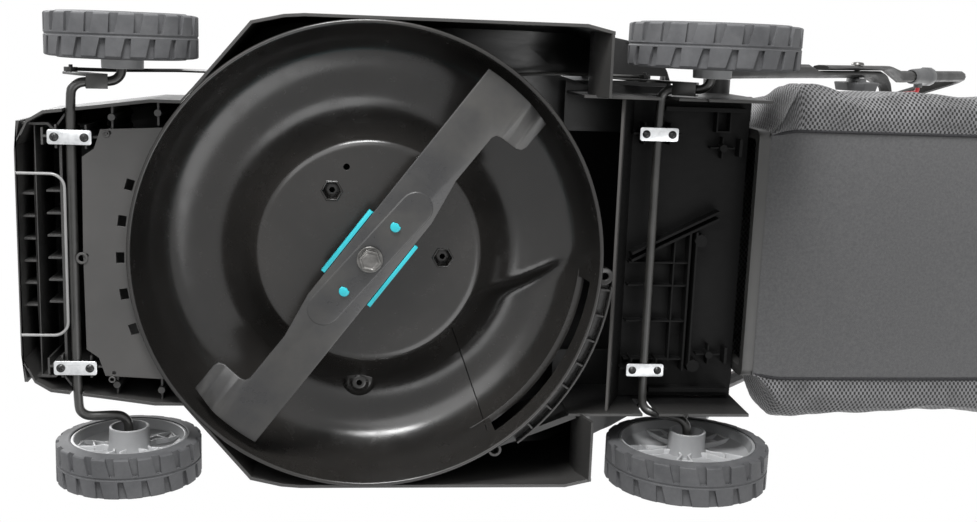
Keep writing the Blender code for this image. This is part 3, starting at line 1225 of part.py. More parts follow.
def handle_hardware(side, word):
    """Bolts and hand knobs for the pivots on the deck and the joint between the tubes."""
    inner, _, outer = joint_faces()
    pivot = handle_point(0, 0)
    joint = handle_point(JOINT_ALONG, 0)
    wall = REAR_HALF_WIDTH - SHEET
    tube_out = HANDLE_HALF_WIDTH + TUBE / 2
    shank = HANDLE_BOLT / 2
    depth = KNOB_HEIGHT * 0.6
    bolt = add(f"{word}_pivot_bolt", along_y(pivot, shank, side * (wall - 0.003), side * (tube_out + depth)), "bolt_steel", pivot)
    join(bolt, [along_y(pivot, 0.0085, side * (wall - GAP - 0.005), side * (wall - GAP), 8)])
    knob = add(f"{word}_pivot_knob", fluted_knob(PIVOT_KNOB / 2, tube_out + GAP, tube_out + KNOB_HEIGHT, pivot, side, 6),
               "knob_plastic", pivot)
    cut(knob, [along_y(pivot, shank + GAP, side * tube_out, side * (tube_out + depth + GAP))])
    bolt = add(f"{word}_joint_bolt", along_y(joint, shank, side * (inner - depth), side * (outer + 0.003)), "bolt_steel", joint)
    join(bolt, [turned([(0, side * (outer + GAP)), (0.009, side * (outer + GAP)), (0.0075, side * (outer + 0.004)),
                        (0, side * (outer + 0.0048))], 14, (joint.x, 0, joint.z), "Y")])
    knob = add(f"{word}_joint_knob", fluted_knob(MID_KNOB / 2, -inner + GAP, -inner + KNOB_HEIGHT, joint, -side), "knob_plastic", joint)
    cut(knob, [along_y(joint, shank + GAP, side * inner, side * (inner - depth - GAP))])


def rounded_box(low, high, corner, steps=3):
    """A plan rectangle with round corners, as a list of points."""
    corners = [(low[0], low[1]), (high[0], low[1]), (high[0], high[1]), (low[0], high[1])]
    return rounded(corners, corner, steps)


def cover_ring(height, length, width, corner):
    half = (length / 2, width / 2)
    points = rounded_box((COVER_X - half[0], -half[1]), (COVER_X + half[0], half[1]), corner, 4)
    return [(x, y, height) for x, y in points]


def cover_levels(wall):
    """Length, width and height of the motor cover's skin, less a wall all round."""
    base = DECK_TOP + GAP
    length, width = COVER_LENGTH - 2 * wall, COVER_WIDTH - 2 * wall
    low = base - (0.02 if wall else 0.0)
    return [(low, length, width, 0.050), (base + COVER_HEIGHT * 0.45, length - 0.012, width - 0.012, 0.050),
            (base + COVER_HEIGHT * 0.80 - wall, length - 0.040, width - 0.034, 0.046),
            (base + COVER_HEIGHT - wall, length - 0.086, width - 0.070, 0.034)]


def motor_cover():
    """The cover over the motor, with the battery bay sunk in its top."""
    top = DECK_TOP + GAP + COVER_HEIGHT
    cover = add("motor_cover", loft([cover_ring(*level) for level in cover_levels(0.0)]), "cover_plastic")
    cut(cover, [loft([cover_ring(*level) for level in cover_levels(SHEET)])])
    half_l, half_w = BAY_LENGTH / 2, BAY_WIDTH / 2
    tray = prism(rounded_box((COVER_X - half_l - SHEET, -half_w - SHEET), (COVER_X + half_l + SHEET, half_w + SHEET), 0.012),
                 top - BAY_DEPTH - SHEET, top - SHEET / 2)
    join(cover, [tray])
    pocket = prism(rounded_box((COVER_X - half_l, -half_w), (COVER_X + half_l, half_w), 0.010), top - BAY_DEPTH, top + 0.01)
    vents = []
    for k in range(5):
        x = COVER_X - COVER_LENGTH / 2
        z = DECK_TOP + 0.016 + k * 0.0085
        vents.append(box((x - 0.02, -0.060, z), (x + 0.02, 0.060, z + 0.0035)))
    cut(cover, [pocket] + vents)


def battery_lid():
    top = DECK_TOP + 2 * GAP + COVER_HEIGHT
    length, width = COVER_LENGTH - 0.100, COVER_WIDTH - 0.080
    levels = [(top, length, width, 0.030), (top + LID_RISE * 0.5, length - 0.004, width - 0.004, 0.030),
              (top + LID_RISE, length - 0.040, width - 0.036, 0.024)]
    hinge = (COVER_X + length / 2, 0, top)
    add("battery_lid", loft([cover_ring(*level) for level in levels]), "cover_plastic", hinge)


def battery(name, side):
    floor = DECK_TOP + GAP + COVER_HEIGHT - BAY_DEPTH + GAP
    half_l = BATTERY_LENGTH / 2
    low, high = sorted((side * 0.002, side * (0.002 + BATTERY_WIDTH)))
    outline = rounded_box((COVER_X - half_l, low), (COVER_X + half_l, high), 0.008)
    lower = [(x, y, floor) for x, y in outline]
    upper = [(x, y, floor + BATTERY_HEIGHT) for x, y in outline]
    add(name, loft([lower, upper]), "knob_plastic")


def rear_flap():
    """The hinged door over the outlet, lying on the bag's front edge."""
    pin_x, pin_z = flap_axis()
    half = flap_half()
    under = BAG_TOP + 0.0028
    outline = [(pin_x - 0.085, under), (pin_x - 0.001, under), (pin_x + 0.004, pin_z - 0.004)]
    outline += arc((pin_x, pin_z), 0.0055, -20, 110, 6)
    outline += [(pin_x - 0.012, under + 0.0075), (pin_x - 0.082, under + 0.0045), (pin_x - 0.085, under + 0.002)]
    flap = add("rear_flap", prism(outline, -half, half, SIDE), "deck_plastic", (pin_x, 0, pin_z))
    cut(flap, [cylinder((pin_x, 0, pin_z), PIN / 2 + GAP, -half - 0.01, half + 0.01, "Y", 12)])
    add("flap_pin", cylinder((pin_x, 0, pin_z), PIN / 2, -half - 0.0075, half + 0.0075, "Y", 12), "bolt_steel")


def bag_front():
    return -DECK_REAR - 0.0006


def bag_frame():
    """The stiff frame round the bag's mouth, with the two hooks that rest on the deck's shelves."""
    front = bag_front()
    back = front - BAG_FRAME
    half, low, high = BAG_MOUTH_HALF, BAG_BOTTOM, BAG_TOP
    inner = 0.010
    ring_out = rounded([(-half, low), (half, low), (half, high), (-half, high)], 0.010, 3)
    ring_in = rounded([(-half + inner, low + inner), (half - inner, low + inner), (half - inner, high - inner),
                       (-half + inner, high - inner)], 0.006, 3)
    rings = [[(x, y, z) for y, z in ring] for x, ring in ((front, ring_out), (back, ring_out), (back, ring_in), (front, ring_in))]
    frame = add("bag_frame", loft(rings, loop=True), "deck_plastic")
    hooks = []
    for side in (1, -1):
        seat = hook_height() + 0.0
        hook = [(front - 0.0005, seat), (front - 0.0005, seat + 0.010), (back + 0.0005, seat + 0.010), (back + 0.0005, seat)]
        near, far = sorted((side * (half - 0.006), side * (half + 0.020)))
        hooks.append(prism(hook, near, far, SIDE))
    join(frame, hooks)


def bag_ring(x, lean, half, bulge, low, high):
    """A cross-section of the bag: straight floor and top, sides that swell out below the middle."""
    points = []
    for share_y, share_z in ((-1, 0.0), (-1, 0.16), (-1, 0.42), (-1, 0.72), (-1, 1.0), (1, 1.0), (1, 0.72), (1, 0.42), (1, 0.16), (1, 0.0)):
        swell = {0.0: 0.0, 0.16: 0.9, 0.42: 1.0, 0.72: 0.72, 1.0: 0.55}[share_z]
        points.append((x, share_y * (half + (bulge - half) * swell), low + (high - low) * share_z + lean * (share_z - 0.5)))
    return points


def bag_fabric():
    """The cloth of the bag, as a sock that is open towards the outlet."""
    front = bag_front() - BAG_FRAME - GAP
    bottom, top = BAG_BOTTOM + 0.001, BAG_TOP - 0.0065
    half, bulge = BAG_MOUTH_HALF, BAG_BULGE_HALF
    stations = [(0.0, half - 0.004, half - 0.004), (0.020, half, half + 0.020), (0.075, half + 0.004, bulge), (0.230, half + 0.004, bulge),
                (0.360, half, bulge - 0.010), (BAG_LENGTH - 0.030, half - 0.008, bulge - 0.026), (BAG_LENGTH, half - 0.030, half - 0.018)]
    outer = [bag_ring(front - s, 0.0, h, b, bottom + 0.020 * (s / BAG_LENGTH) ** 3, top) for s, h, b in stations]
    wall = BAG_WALL
    inner = [bag_ring(front - min(s, BAG_LENGTH - wall), 0.0, h - wall, b - wall, bottom + wall + 0.020 * (s / BAG_LENGTH) ** 3, top - wall)
             for s, h, b in stations]
    shape = bmesh.new()
    skins = []
    for rings in (outer, inner):
        skins.append([[shape.verts.new(point) for point in ring] for ring in rings])
    count = len(outer[0])
    for rows in skins:
        for low, high in zip(rows, rows[1:]):
            for k in range(count):
                shape.faces.new((low[k], low[(k + 1) % count], high[(k + 1) % count], high[k]))
        shape.faces.new(rows[-1])
    for k in range(count):
        mouth_out, mouth_in = skins[0][0], skins[1][0]
        shape.faces.new((mouth_out[k], mouth_out[(k + 1) % count], mouth_in[(k + 1) % count], mouth_in[k]))
    bmesh.ops.recalc_face_normals(shape, faces=shape.faces)
    add("bag_fabric", shape, "bag_cloth")


def bag_top():
    """The stiff lid of the bag: low under the flap, domed behind it."""
    front = bag_front() - BAG_FRAME - GAP
    low = BAG_TOP - 0.0065 + GAP

    def skin(wall):
        rings = []
        for s, half, rise in ((0.0, BAG_MOUTH_HALF - 0.010, 0.006), (0.088, BAG_MOUTH_HALF + 0.004, 0.006), (0.110, BAG_MOUTH_HALF + 0.010, 0.024),
                              (0.150, BAG_MOUTH_HALF + 0.012, 0.042), (0.330, BAG_MOUTH_HALF + 0.010, 0.042), (0.400, BAG_MOUTH_HALF - 0.004, 0.030),
                              (BAG_LENGTH - 0.010, BAG_MOUTH_HALF - 0.030, 0.012)):
            x = front - min(max(s, wall), BAG_LENGTH - 0.010 - wall)
            base = low - (0.01 if wall else 0.0)
            arch = [(-half + wall, base), (-half + wall, low + rise * 0.45 - wall), (-half * 0.86, low + rise - wall),
                    (half * 0.86, low + rise - wall), (half - wall, low + rise * 0.45 - wall), (half - wall, base)]
            rings.append([(x, y, z) for y, z in arch])
        return loft(rings)
    lid = add("bag_top", skin(0.0), "deck_plastic")
    cut(lid, [skin(0.0025)])


def bag_handle():
    """A carrying bow on the bag's lid."""
    front = bag_front() - BAG_FRAME - GAP
    low = BAG_TOP - 0.0065 + GAP + 0.042 + GAP
    x = front - 0.235
    corners = [(x, 0.062, low), (x, 0.062, low + 0.030), (x, 0, low + 0.030)]
    path = [Vector(p) for p in rounded(corners, 0.014, 4)]
    sizes = [(0.0055, 0.011)] * len(path)
    add("bag_handle", loft(mirrored(half_rings(path, sizes, 10, (1, 0, 0)))), "knob_plastic")


def running_gear():
    places = wheel_places()
    axle("front_axle", FRONT_PIVOT, (FRONT_X, FRONT_RADIUS), FRONT_ARM_Y, FRONT_INNER + FRONT_WIDTH - 0.006)
    axle("rear_axle", REAR_PIVOT, (REAR_X, REAR_RADIUS), REAR_ARM_Y, REAR_INNER + REAR_WIDTH - 0.006)
    for side, word in ((1, "left"), (-1, "right")):
        for end, place in places.items():
            tyre(f"{end}_{word}_tyre", place, side)
            wheel_disc(f"{end}_{word}_wheel", place, side)
            hub_cap(f"{end}_{word}_cap", place, side)
        clamp(f"front_{word}_clamp", FRONT_PIVOT, side * FRONT_CLAMP_Y)
        clamp(f"rear_{word}_clamp", REAR_PIVOT, side * REAR_CLAMP_Y)
    link_bracket("front_link_bracket", FRONT_PIVOT, (FRONT_X, FRONT_RADIUS), FRONT_ARM_Y)
    rear = link_bracket("rear_link_bracket", REAR_PIVOT, (REAR_X, REAR_RADIUS), REAR_ARM_Y)
    join(rear, [height_lever()])
    lever_knob()
    link_rod()


def main():
    for leftover in list(bpy.data.objects):
        bpy.data.objects.remove(leftover)
    whole = bpy.data.objects.new("mower", None)
    whole.location = (SPINDLE_X, 0, 0)
    bpy.context.scene.collection.objects.link(whole)
    deck_body()
    blade_housing()
    front_baffle()
    chute_floor()
    motor()
    blade()
    blade_adaptor()
    blade_bolt()
    running_gear()
    lower_handle()
    upper_handle()
    grip_sleeve()
    for side, word in ((1, "left"), (-1, "right")):
        collar(f"{word}_collar", side)
        handle_hardware(side, word)
        battery(f"{word}_battery", side)
    bail_lever()
    motor_cover()
    battery_lid()
    rear_flap()
    bag_frame()
    bag_fabric()
    bag_top()
    bag_handle()


main()
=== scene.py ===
# Rotary lawn mower on its wheels, seen from underneath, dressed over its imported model.
import json
import math

import bpy
from mathutils import Matrix, Vector, noise


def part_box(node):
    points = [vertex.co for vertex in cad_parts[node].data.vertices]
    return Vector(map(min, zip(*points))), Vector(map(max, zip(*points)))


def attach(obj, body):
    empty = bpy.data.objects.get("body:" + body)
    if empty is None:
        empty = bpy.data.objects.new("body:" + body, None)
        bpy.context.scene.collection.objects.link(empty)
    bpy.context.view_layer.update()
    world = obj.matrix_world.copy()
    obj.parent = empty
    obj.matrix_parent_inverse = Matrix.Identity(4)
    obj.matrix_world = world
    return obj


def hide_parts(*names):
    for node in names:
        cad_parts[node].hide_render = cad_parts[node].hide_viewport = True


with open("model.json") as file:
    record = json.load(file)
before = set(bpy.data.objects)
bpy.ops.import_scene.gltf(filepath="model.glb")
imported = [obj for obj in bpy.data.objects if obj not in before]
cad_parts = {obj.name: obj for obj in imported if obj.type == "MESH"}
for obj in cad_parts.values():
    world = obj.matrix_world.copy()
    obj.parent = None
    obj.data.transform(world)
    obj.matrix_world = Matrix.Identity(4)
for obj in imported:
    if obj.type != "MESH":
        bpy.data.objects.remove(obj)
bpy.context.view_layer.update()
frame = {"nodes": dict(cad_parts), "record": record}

# Camera first: under the mower's bowl and a little to its left, looking up
view = {"place": (0.35506, 0.21313, -1.0864), "turn": (169.2551, 5.9013, 177.8868), "lens": 44.05}

cameraData = bpy.data.cameras.new("camera")
cameraData.lens = view["lens"]
camera = bpy.data.objects.new("camera", cameraData)
camera.location = view["place"]
camera.rotation_euler = [math.radians(angle) for angle in view["turn"]]
bpy.context.scene.collection.objects.link(camera)
bpy.context.scene.camera = camera
bpy.context.scene.view_settings.view_transform = "Standard"
print("camera set")


def camel(node):
    first, *rest = node.split("_")
    return first + "".join(word.capitalize() for word in rest)


def boxOf(node):
    low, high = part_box(node)
    return low, high, (low + high) / 2


bodyOf = {}
for bodyName, members in frame["record"]["behaviour"]["bodies"].items():
    for member in members:
        bodyOf[member] = bodyName

spindle = boxOf("blade_bolt")[2]
spindle.z = 0.0


# Hand tools shared by the pieces


def letGo():
    if bpy.context.mode != "OBJECT":
        bpy.ops.object.mode_set(mode="OBJECT")
    bpy.ops.object.select_all(action="DESELECT")


def takeUp(piece):
    letGo()
    piece.select_set(True)
    bpy.context.view_layer.objects.active = piece


def applyAll(piece):
    takeUp(piece)
    for modifier in list(piece.modifiers):
        bpy.ops.object.modifier_apply(modifier=modifier.name)
    bpy.ops.object.transform_apply(location=True, rotation=True, scale=True)


def soften(piece, width=0.0006, segments=2, angle=32.0, smooth=35.0):
    # rounds the edges that a mould or a press leaves
    if width:
        bevel = piece.modifiers.new("edges", "BEVEL")
        bevel.width = width
        bevel.segments = segments
        bevel.limit_method = "ANGLE"
        bevel.angle_limit = math.radians(angle)
    applyAll(piece)
    bpy.ops.object.shade_smooth_by_angle(angle=math.radians(smooth))


def dress(piece, body, slot, finish, *nodes):
    if finish:
        piece.data.materials.clear()
        piece.data.materials.append(finish)
    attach(piece, body)
    if nodes:
        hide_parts(*nodes)
    return piece


def joinUp(pieces, name):
    letGo()
    for piece in pieces:
        piece.select_set(True)
    bpy.context.view_layer.objects.active = pieces[0]
    bpy.ops.object.join()
    pieces[0].name = name
    return pieces[0]


def twin(piece, name):
    # a copy with its own mesh, mirrored from the left side to the right
    copied = bpy.data.objects.new(name, piece.data.copy())
    bpy.context.scene.collection.objects.link(copied)
    copied.data.transform(Matrix.Diagonal((1, -1, 1, 1)))
    copied.data.flip_normals()
    return copied


def tube(name, points, radius, capped):
    # a round rod or piping along the points
    letGo()
    curve = bpy.data.curves.new(name, "CURVE")
    curve.dimensions = "3D"
    curve.bevel_depth = radius
    curve.bevel_resolution = 3
    curve.use_fill_caps = capped
    line = curve.splines.new("POLY")
    line.points.add(len(points) - 1)
    for point, place in zip(line.points, points):
        point.co = (*place, 1.0)
    piece = bpy.data.objects.new(name, curve)
    bpy.context.scene.collection.objects.link(piece)
    takeUp(piece)
    bpy.ops.object.convert(target="MESH")
    piece = bpy.context.active_object
    applyAll(piece)
    bpy.ops.object.shade_smooth_by_angle(angle=math.radians(60.0))
    return piece


def lathe(name, profile, centre, axis="Z", sweep=360.0, start=0.0, steps=96):
    # a flat outline of (radius, height) points spun round an axis through the centre
    full = sweep >= 360.0
    letGo()
    fill = "NOTHING" if full else "NGON"
    bpy.ops.mesh.primitive_circle_add(vertices=len(profile), fill_type=fill)
    piece = bpy.context.active_object
    piece.name = name
    ways = {"Z": (Vector((1, 0, 0)), Vector((0, 0, 1))), "Y": (Vector((1, 0, 0)), Vector((0, 1, 0)))}
    outward, along = ways[axis]
    outward = Matrix.Rotation(math.radians(start), 3, axis) @ outward
    for vert, (radius, height) in zip(piece.data.vertices, profile):
        vert.co = Vector(centre) + outward * radius + along * height
    bpy.ops.object.mode_set(mode="EDIT")
    bpy.ops.mesh.select_all(action="SELECT")
    turned = sweep if full else -sweep  # a part turn runs the other way
    bpy.ops.mesh.spin(steps=steps, angle=math.radians(turned), center=centre, axis=along)
    bpy.ops.mesh.select_all(action="SELECT")
    bpy.ops.mesh.remove_doubles(threshold=0.00002)
    bpy.ops.mesh.normals_make_consistent(inside=False)
    bpy.ops.object.mode_set(mode="OBJECT")
    return piece


def block(name, corners, low, high, plane=Matrix.Identity(4)):
    # a filled circle primitive put on a flat outline and extruded, for walls, ribs and cutters
    letGo()
    bpy.ops.mesh.primitive_circle_add(vertices=len(corners), fill_type="NGON")
    piece = bpy.context.active_object
    piece.name = name
    for vert, corner in zip(piece.data.vertices, corners):
        vert.co = plane @ Vector((corner[0], corner[1], low))
    rise = plane.to_3x3() @ Vector((0, 0, high - low))
    bpy.ops.object.mode_set(mode="EDIT")
    bpy.ops.mesh.select_all(action="SELECT")
    bpy.ops.mesh.extrude_region_move(TRANSFORM_OT_translate={"value": rise})
    bpy.ops.mesh.select_all(action="SELECT")
    bpy.ops.mesh.normals_make_consistent(inside=False)
    bpy.ops.object.mode_set(mode="OBJECT")
    return piece


def wall(name, start, end, low, high, thick, plane=Matrix.Identity(4)):
    along = (Vector(end) - Vector(start)).normalized()
    side = Vector((-along.y, along.x)) * thick / 2
    a, b = Vector(start), Vector(end)
    return block(name, [a + side, b + side, b - side, a - side], low, high, plane)


def carve(piece, cutters):
    tool = joinUp(cutters, "tool") if len(cutters) > 1 else cutters[0]
    boolean = piece.modifiers.new("carve", "BOOLEAN")
    boolean.object = tool
    boolean.operation = "DIFFERENCE"
    boolean.solver = "EXACT"
    boolean.use_self = len(cutters) > 1
    applyAll(piece)
    bpy.data.objects.remove(tool)


def refined(node, name, width, levels, fatten):
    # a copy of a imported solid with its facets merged, then rounded at its edges or all over
    source = frame["nodes"][node]
    piece = bpy.data.objects.new(name, source.data.copy())
    bpy.context.scene.collection.objects.link(piece)
    takeUp(piece)
    bpy.ops.object.mode_set(mode="EDIT")
    bpy.ops.mesh.select_all(action="SELECT")
    bpy.ops.mesh.remove_doubles(threshold=0.00001)
    bpy.ops.mesh.customdata_custom_splitnormals_clear()
    if levels:
        bpy.ops.mesh.tris_convert_to_quads()
        bpy.ops.transform.shrink_fatten(value=fatten)
    elif width:
        bpy.ops.mesh.dissolve_limited(angle_limit=math.radians(0.5))
    bpy.ops.object.mode_set(mode="OBJECT")
    if levels:
        surface = piece.modifiers.new("round", "SUBSURF")
        surface.levels = levels
        surface.render_levels = levels
    soften(piece, width)
    return piece


def smoothLine(points, share=6):
    # extra points on a smooth line through the given ones
    points = [Vector(point) for point in points]
    line = []
    for k in range(len(points) - 1):
        before, a = points[max(k - 1, 0)], points[k]
        b, after = points[k + 1], points[min(k + 2, len(points) - 1)]
        for step in range(share):
            t = step / share
            line.append(0.5 * (2 * a + (b - before) * t + (2 * before - 5 * a + 4 * b - after) * t * t
                               + (3 * a - before - 3 * b + after) * t ** 3))
    line.append(points[-1])
    return line


# Finishes


def startFinish(name, colour, roughness, metallic=0.0, specular=0.5):
    made = bpy.data.materials.new(name)
    made.use_nodes = True
    made.diffuse_color = (*colour, 1.0)
    tree = made.node_tree
    shader = tree.nodes["Principled BSDF"]
    shader.inputs["Base Color"].default_value = (*colour, 1.0)
    shader.inputs["Roughness"].default_value = roughness
    shader.inputs["Metallic"].default_value = metallic
    shader.inputs["Specular IOR Level"].default_value = specular
    where = tree.nodes.new("ShaderNodeTexCoord").outputs["Object"]
    return made, tree, shader, where


def stretched(tree, where, scale, turn=(0, 0, 0)):
    mapping = tree.nodes.new("ShaderNodeMapping")
    mapping.inputs["Scale"].default_value = scale
    mapping.inputs["Rotation"].default_value = [math.radians(angle) for angle in turn]
    tree.links.new(where, mapping.inputs["Vector"])
    return mapping.outputs["Vector"]


def cloudy(tree, where, scale, detail=4.0, rough=0.55):
    texture = tree.nodes.new("ShaderNodeTexNoise")
    texture.inputs["Scale"].default_value = scale
    texture.inputs["Detail"].default_value = detail
    texture.inputs["Roughness"].default_value = rough
    tree.links.new(where, texture.inputs["Vector"])
    return texture.outputs["Fac"]


def spread(tree, value, low, high, start=0.3, end=0.7):
    ranged = tree.nodes.new("ShaderNodeMapRange")
    ranged.inputs["From Min"].default_value = start
    ranged.inputs["From Max"].default_value = end
    ranged.inputs["To Min"].default_value = low
    ranged.inputs["To Max"].default_value = high
    tree.links.new(value, ranged.inputs["Value"])
    return ranged.outputs["Result"]


def between(tree, factor, first, second):
    mix = tree.nodes.new("ShaderNodeMix")
    mix.data_type = "RGBA"
    tree.links.new(factor, mix.inputs[0])
    for socket, colour in ((mix.inputs[6], first), (mix.inputs[7], second)):
        if isinstance(colour, tuple):
            socket.default_value = (*colour, 1.0)
        else:
            tree.links.new(colour, socket)
    return mix.outputs[2]


def combine(tree, operation, first, second=None):
    node = tree.nodes.new("ShaderNodeMath")
    node.operation = operation
    for socket, value in zip(node.inputs, (first, second)):
        if value is None:
            continue
        if isinstance(value, (int, float)):
            socket.default_value = value
        else:
            tree.links.new(value, socket)
    return node.outputs[0]


def addBumps(tree, shader, heights, edge=0.0):
    # bumps stacked on one another, over edges that look rounded to the light
    normal = None
    if edge:
        rounder = tree.nodes.new("ShaderNodeBevel")
        rounder.samples = 4
        rounder.inputs["Radius"].default_value = edge
        normal = rounder.outputs["Normal"]
    for height, distance in heights:
        bump = tree.nodes.new("ShaderNodeBump")
        bump.inputs["Strength"].default_value = 1.0
        bump.inputs["Distance"].default_value = distance
        tree.links.new(height, bump.inputs["Height"])
        if normal is not None:
            tree.links.new(normal, bump.inputs["Normal"])
        normal = bump.outputs["Normal"]
    tree.links.new(normal, shader.inputs["Normal"])


def mouldedPlastic(name, dark, light, roughness, specular=0.5, cloud=9.0, paintedShade=None):
    # moulded plastic: faint flow clouds, a fine spark grain and handling scuffs
    made, tree, shader, where = startFinish(name, light, roughness, 0.0, specular)
    flow = cloudy(tree, where, cloud, 5.0)
    scuff = cloudy(tree, stretched(tree, where, (1.0, 3.0, 1.0), (0, 0, 25)), 60.0, 6.0, 0.7)
    spark = cloudy(tree, where, 1400.0, 2.0)
    tint = between(tree, spread(tree, flow, 0.0, 1.0), dark, light)
    if paintedShade:
        # painted shade: the colour is painted darker towards black with height, so the deep faces come out
        # black and the rib edges low down keep the plastic's tone
        low, high, shadeBlack = paintedShade
        parts = tree.nodes.new("ShaderNodeSeparateXYZ")
        tree.links.new(where, parts.inputs[0])
        depth = spread(tree, parts.outputs[2], 0.0, 1.0, low, high)
        tint = between(tree, depth, tint, (shadeBlack, shadeBlack, shadeBlack))
    tree.links.new(tint, shader.inputs["Base Color"])
    uneven = combine(tree, "ADD", spread(tree, flow, roughness - 0.05, roughness + 0.04),
                   spread(tree, scuff, -0.03, 0.08, 0.4, 0.75))
    tree.links.new(uneven, shader.inputs["Roughness"])
    addBumps(tree, shader, [(spark, 0.00004), (scuff, 0.00002)], 0.0007)
    return made


def paintedSteel(name, dark, light, roughness, metallic=0.0, edge=0.0, coat=0.15, specular=0.5):
    # stoved paint on steel: orange peel, rubbed places and dust
    made, tree, shader, where = startFinish(name, light, roughness, metallic, specular)
    peel = cloudy(tree, where, 420.0, 2.0)
    rubbed = cloudy(tree, where, 34.0, 7.0, 0.7)
    tint = between(tree, spread(tree, rubbed, 0.0, 1.0, 0.35, 0.7), dark, light)
    tree.links.new(tint, shader.inputs["Base Color"])
    tree.links.new(spread(tree, rubbed, roughness - 0.06, roughness + 0.10), shader.inputs["Roughness"])
    addBumps(tree, shader, [(peel, 0.00003)], edge)
    shader.inputs["Coat Weight"].default_value = coat
    shader.inputs["Coat Roughness"].default_value = 0.3
    return made


def bareSteel(name, dark, light, roughness, edge=0.0004):
    # rolled or plated steel: long faint scratches over a mottled plating
    made, tree, shader, where = startFinish(name, light, roughness, 1.0)
    lines = cloudy(tree, stretched(tree, where, (40.0, 900.0, 900.0)), 1.0, 3.0)
    mottle = cloudy(tree, where, 160.0, 4.0)
    tree.links.new(between(tree, spread(tree, mottle, 0.0, 1.0), dark, light), shader.inputs["Base Color"])
    tree.links.new(spread(tree, lines, roughness - 0.08, roughness + 0.12), shader.inputs["Roughness"])
    addBumps(tree, shader, [(lines, 0.00002)], edge)
    return made


def bladeFinish():
    # black e-coat on a stamped blade, with a fine mill grain along it and grass stain at the ends
    made, tree, shader, where = startFinish("bladeCoat", (0.062, 0.062, 0.063), 0.30, 0.35)
    grain = cloudy(tree, stretched(tree, where, (60.0, 700.0, 60.0), (0, 0, -37)), 1.0, 3.0)
    stain = cloudy(tree, where, 16.0, 7.0, 0.65)
    stained = spread(tree, stain, 0.0, 1.0, 0.4, 0.7)
    tint = between(tree, stained, (0.044, 0.044, 0.045), (0.068, 0.066, 0.062))
    tree.links.new(tint, shader.inputs["Base Color"])
    tree.links.new(spread(tree, stain, 0.24, 0.38), shader.inputs["Roughness"])
    addBumps(tree, shader, [(grain, 0.00003)], 0.0006)
    return made


def bowlFinish():
    # glossy moulded bowl: drawn-out flow marks and dust that lies in the channel
    made, tree, shader, where = startFinish("bowlPlastic", (0.020, 0.019, 0.018), 0.24, 0.0, 0.5)
    flow = cloudy(tree, where, 7.0, 5.0)
    dust = cloudy(tree, where, 46.0, 8.0, 0.7)
    spark = cloudy(tree, where, 900.0, 2.0)
    tint = between(tree, spread(tree, flow, 0.0, 1.0), (0.011, 0.0105, 0.010), (0.021, 0.0195, 0.018))
    tree.links.new(tint, shader.inputs["Base Color"])
    gloss = combine(tree, "ADD", spread(tree, flow, 0.18, 0.26), spread(tree, dust, -0.01, 0.10, 0.45, 0.75))
    tree.links.new(gloss, shader.inputs["Roughness"])
    addBumps(tree, shader, [(spark, 0.00003), (dust, 0.00004)], 0.0008)
    return made


def rubberFinish():
    # tyre rubber: matt, dusty on the high places, with a fine pitted grain
    made, tree, shader, where = startFinish("tyreRubber", (0.090, 0.091, 0.094), 0.68, 0.0, 0.35)
    dust = cloudy(tree, where, 38.0, 8.0, 0.7)
    pits = cloudy(tree, where, 700.0, 3.0)
    dusty = spread(tree, dust, 0.0, 1.0, 0.35, 0.75)
    tint = between(tree, dusty, (0.072, 0.073, 0.077), (0.125, 0.126, 0.130))
    tree.links.new(tint, shader.inputs["Base Color"])
    tree.links.new(spread(tree, dust, 0.55, 0.80), shader.inputs["Roughness"])
    addBumps(tree, shader, [(pits, 0.00008), (dust, 0.00012)], 0.0009)
    return made


def foamFinish():
    # closed-cell foam sleeve
    made, tree, shader, where = startFinish("gripFoam", (0.020, 0.020, 0.021), 0.92, 0.0, 0.25)
    cells = tree.nodes.new("ShaderNodeTexVoronoi")
    cells.inputs["Scale"].default_value = 520.0
    tree.links.new(where, cells.inputs["Vector"])
    pits = cells.outputs["Distance"]
    # painted shade: the colour is darker in the foam's pits than on the cell walls, following the bump's
    # recesses
    pitShadeMask = spread(tree, pits, 0.0, 1.0, 0.0, 0.6)
    tint = between(tree, pitShadeMask, (0.012, 0.012, 0.013), (0.032, 0.032, 0.034))
    tree.links.new(tint, shader.inputs["Base Color"])
    addBumps(tree, shader, [(pits, 0.0003)])
    return made


def threads(tree, *pitches):
    # waves in the two directions of a cloth, from the piece's own map in metres
    where = tree.nodes.new("ShaderNodeTexCoord").outputs["UV"]
    parts = tree.nodes.new("ShaderNodeSeparateXYZ")
    tree.links.new(where, parts.inputs[0])
    waves = []
    for k, pitch in enumerate(pitches):
        turns = combine(tree, "MULTIPLY", parts.outputs[k], 2 * math.pi / pitch)
        waves.append(combine(tree, "SINE", turns))
    return waves


def wovenFinish():
    # plain woven panel: close weave, flecked yarn
    made, tree, shader, where = startFinish("bagPanel", (0.100, 0.100, 0.102), 0.88, 0.0, 0.2)
    across, along = threads(tree, 0.0011, 0.0011)
    weave = combine(tree, "MULTIPLY", across, along)
    fleck = cloudy(tree, where, 380.0, 3.0, 0.7)
    patch = cloudy(tree, where, 11.0, 5.0)
    tint = between(tree, spread(tree, fleck, 0.0, 1.0), (0.082, 0.082, 0.084), (0.112, 0.112, 0.114))
    tree.links.new(tint, shader.inputs["Base Color"])
    tree.links.new(spread(tree, patch, 0.82, 0.94), shader.inputs["Roughness"])
    addBumps(tree, shader, [(weave, 0.0001), (fleck, 0.0001), (patch, 0.0008)])
    shader.inputs["Sheen Weight"].default_value = 0.2
    return made


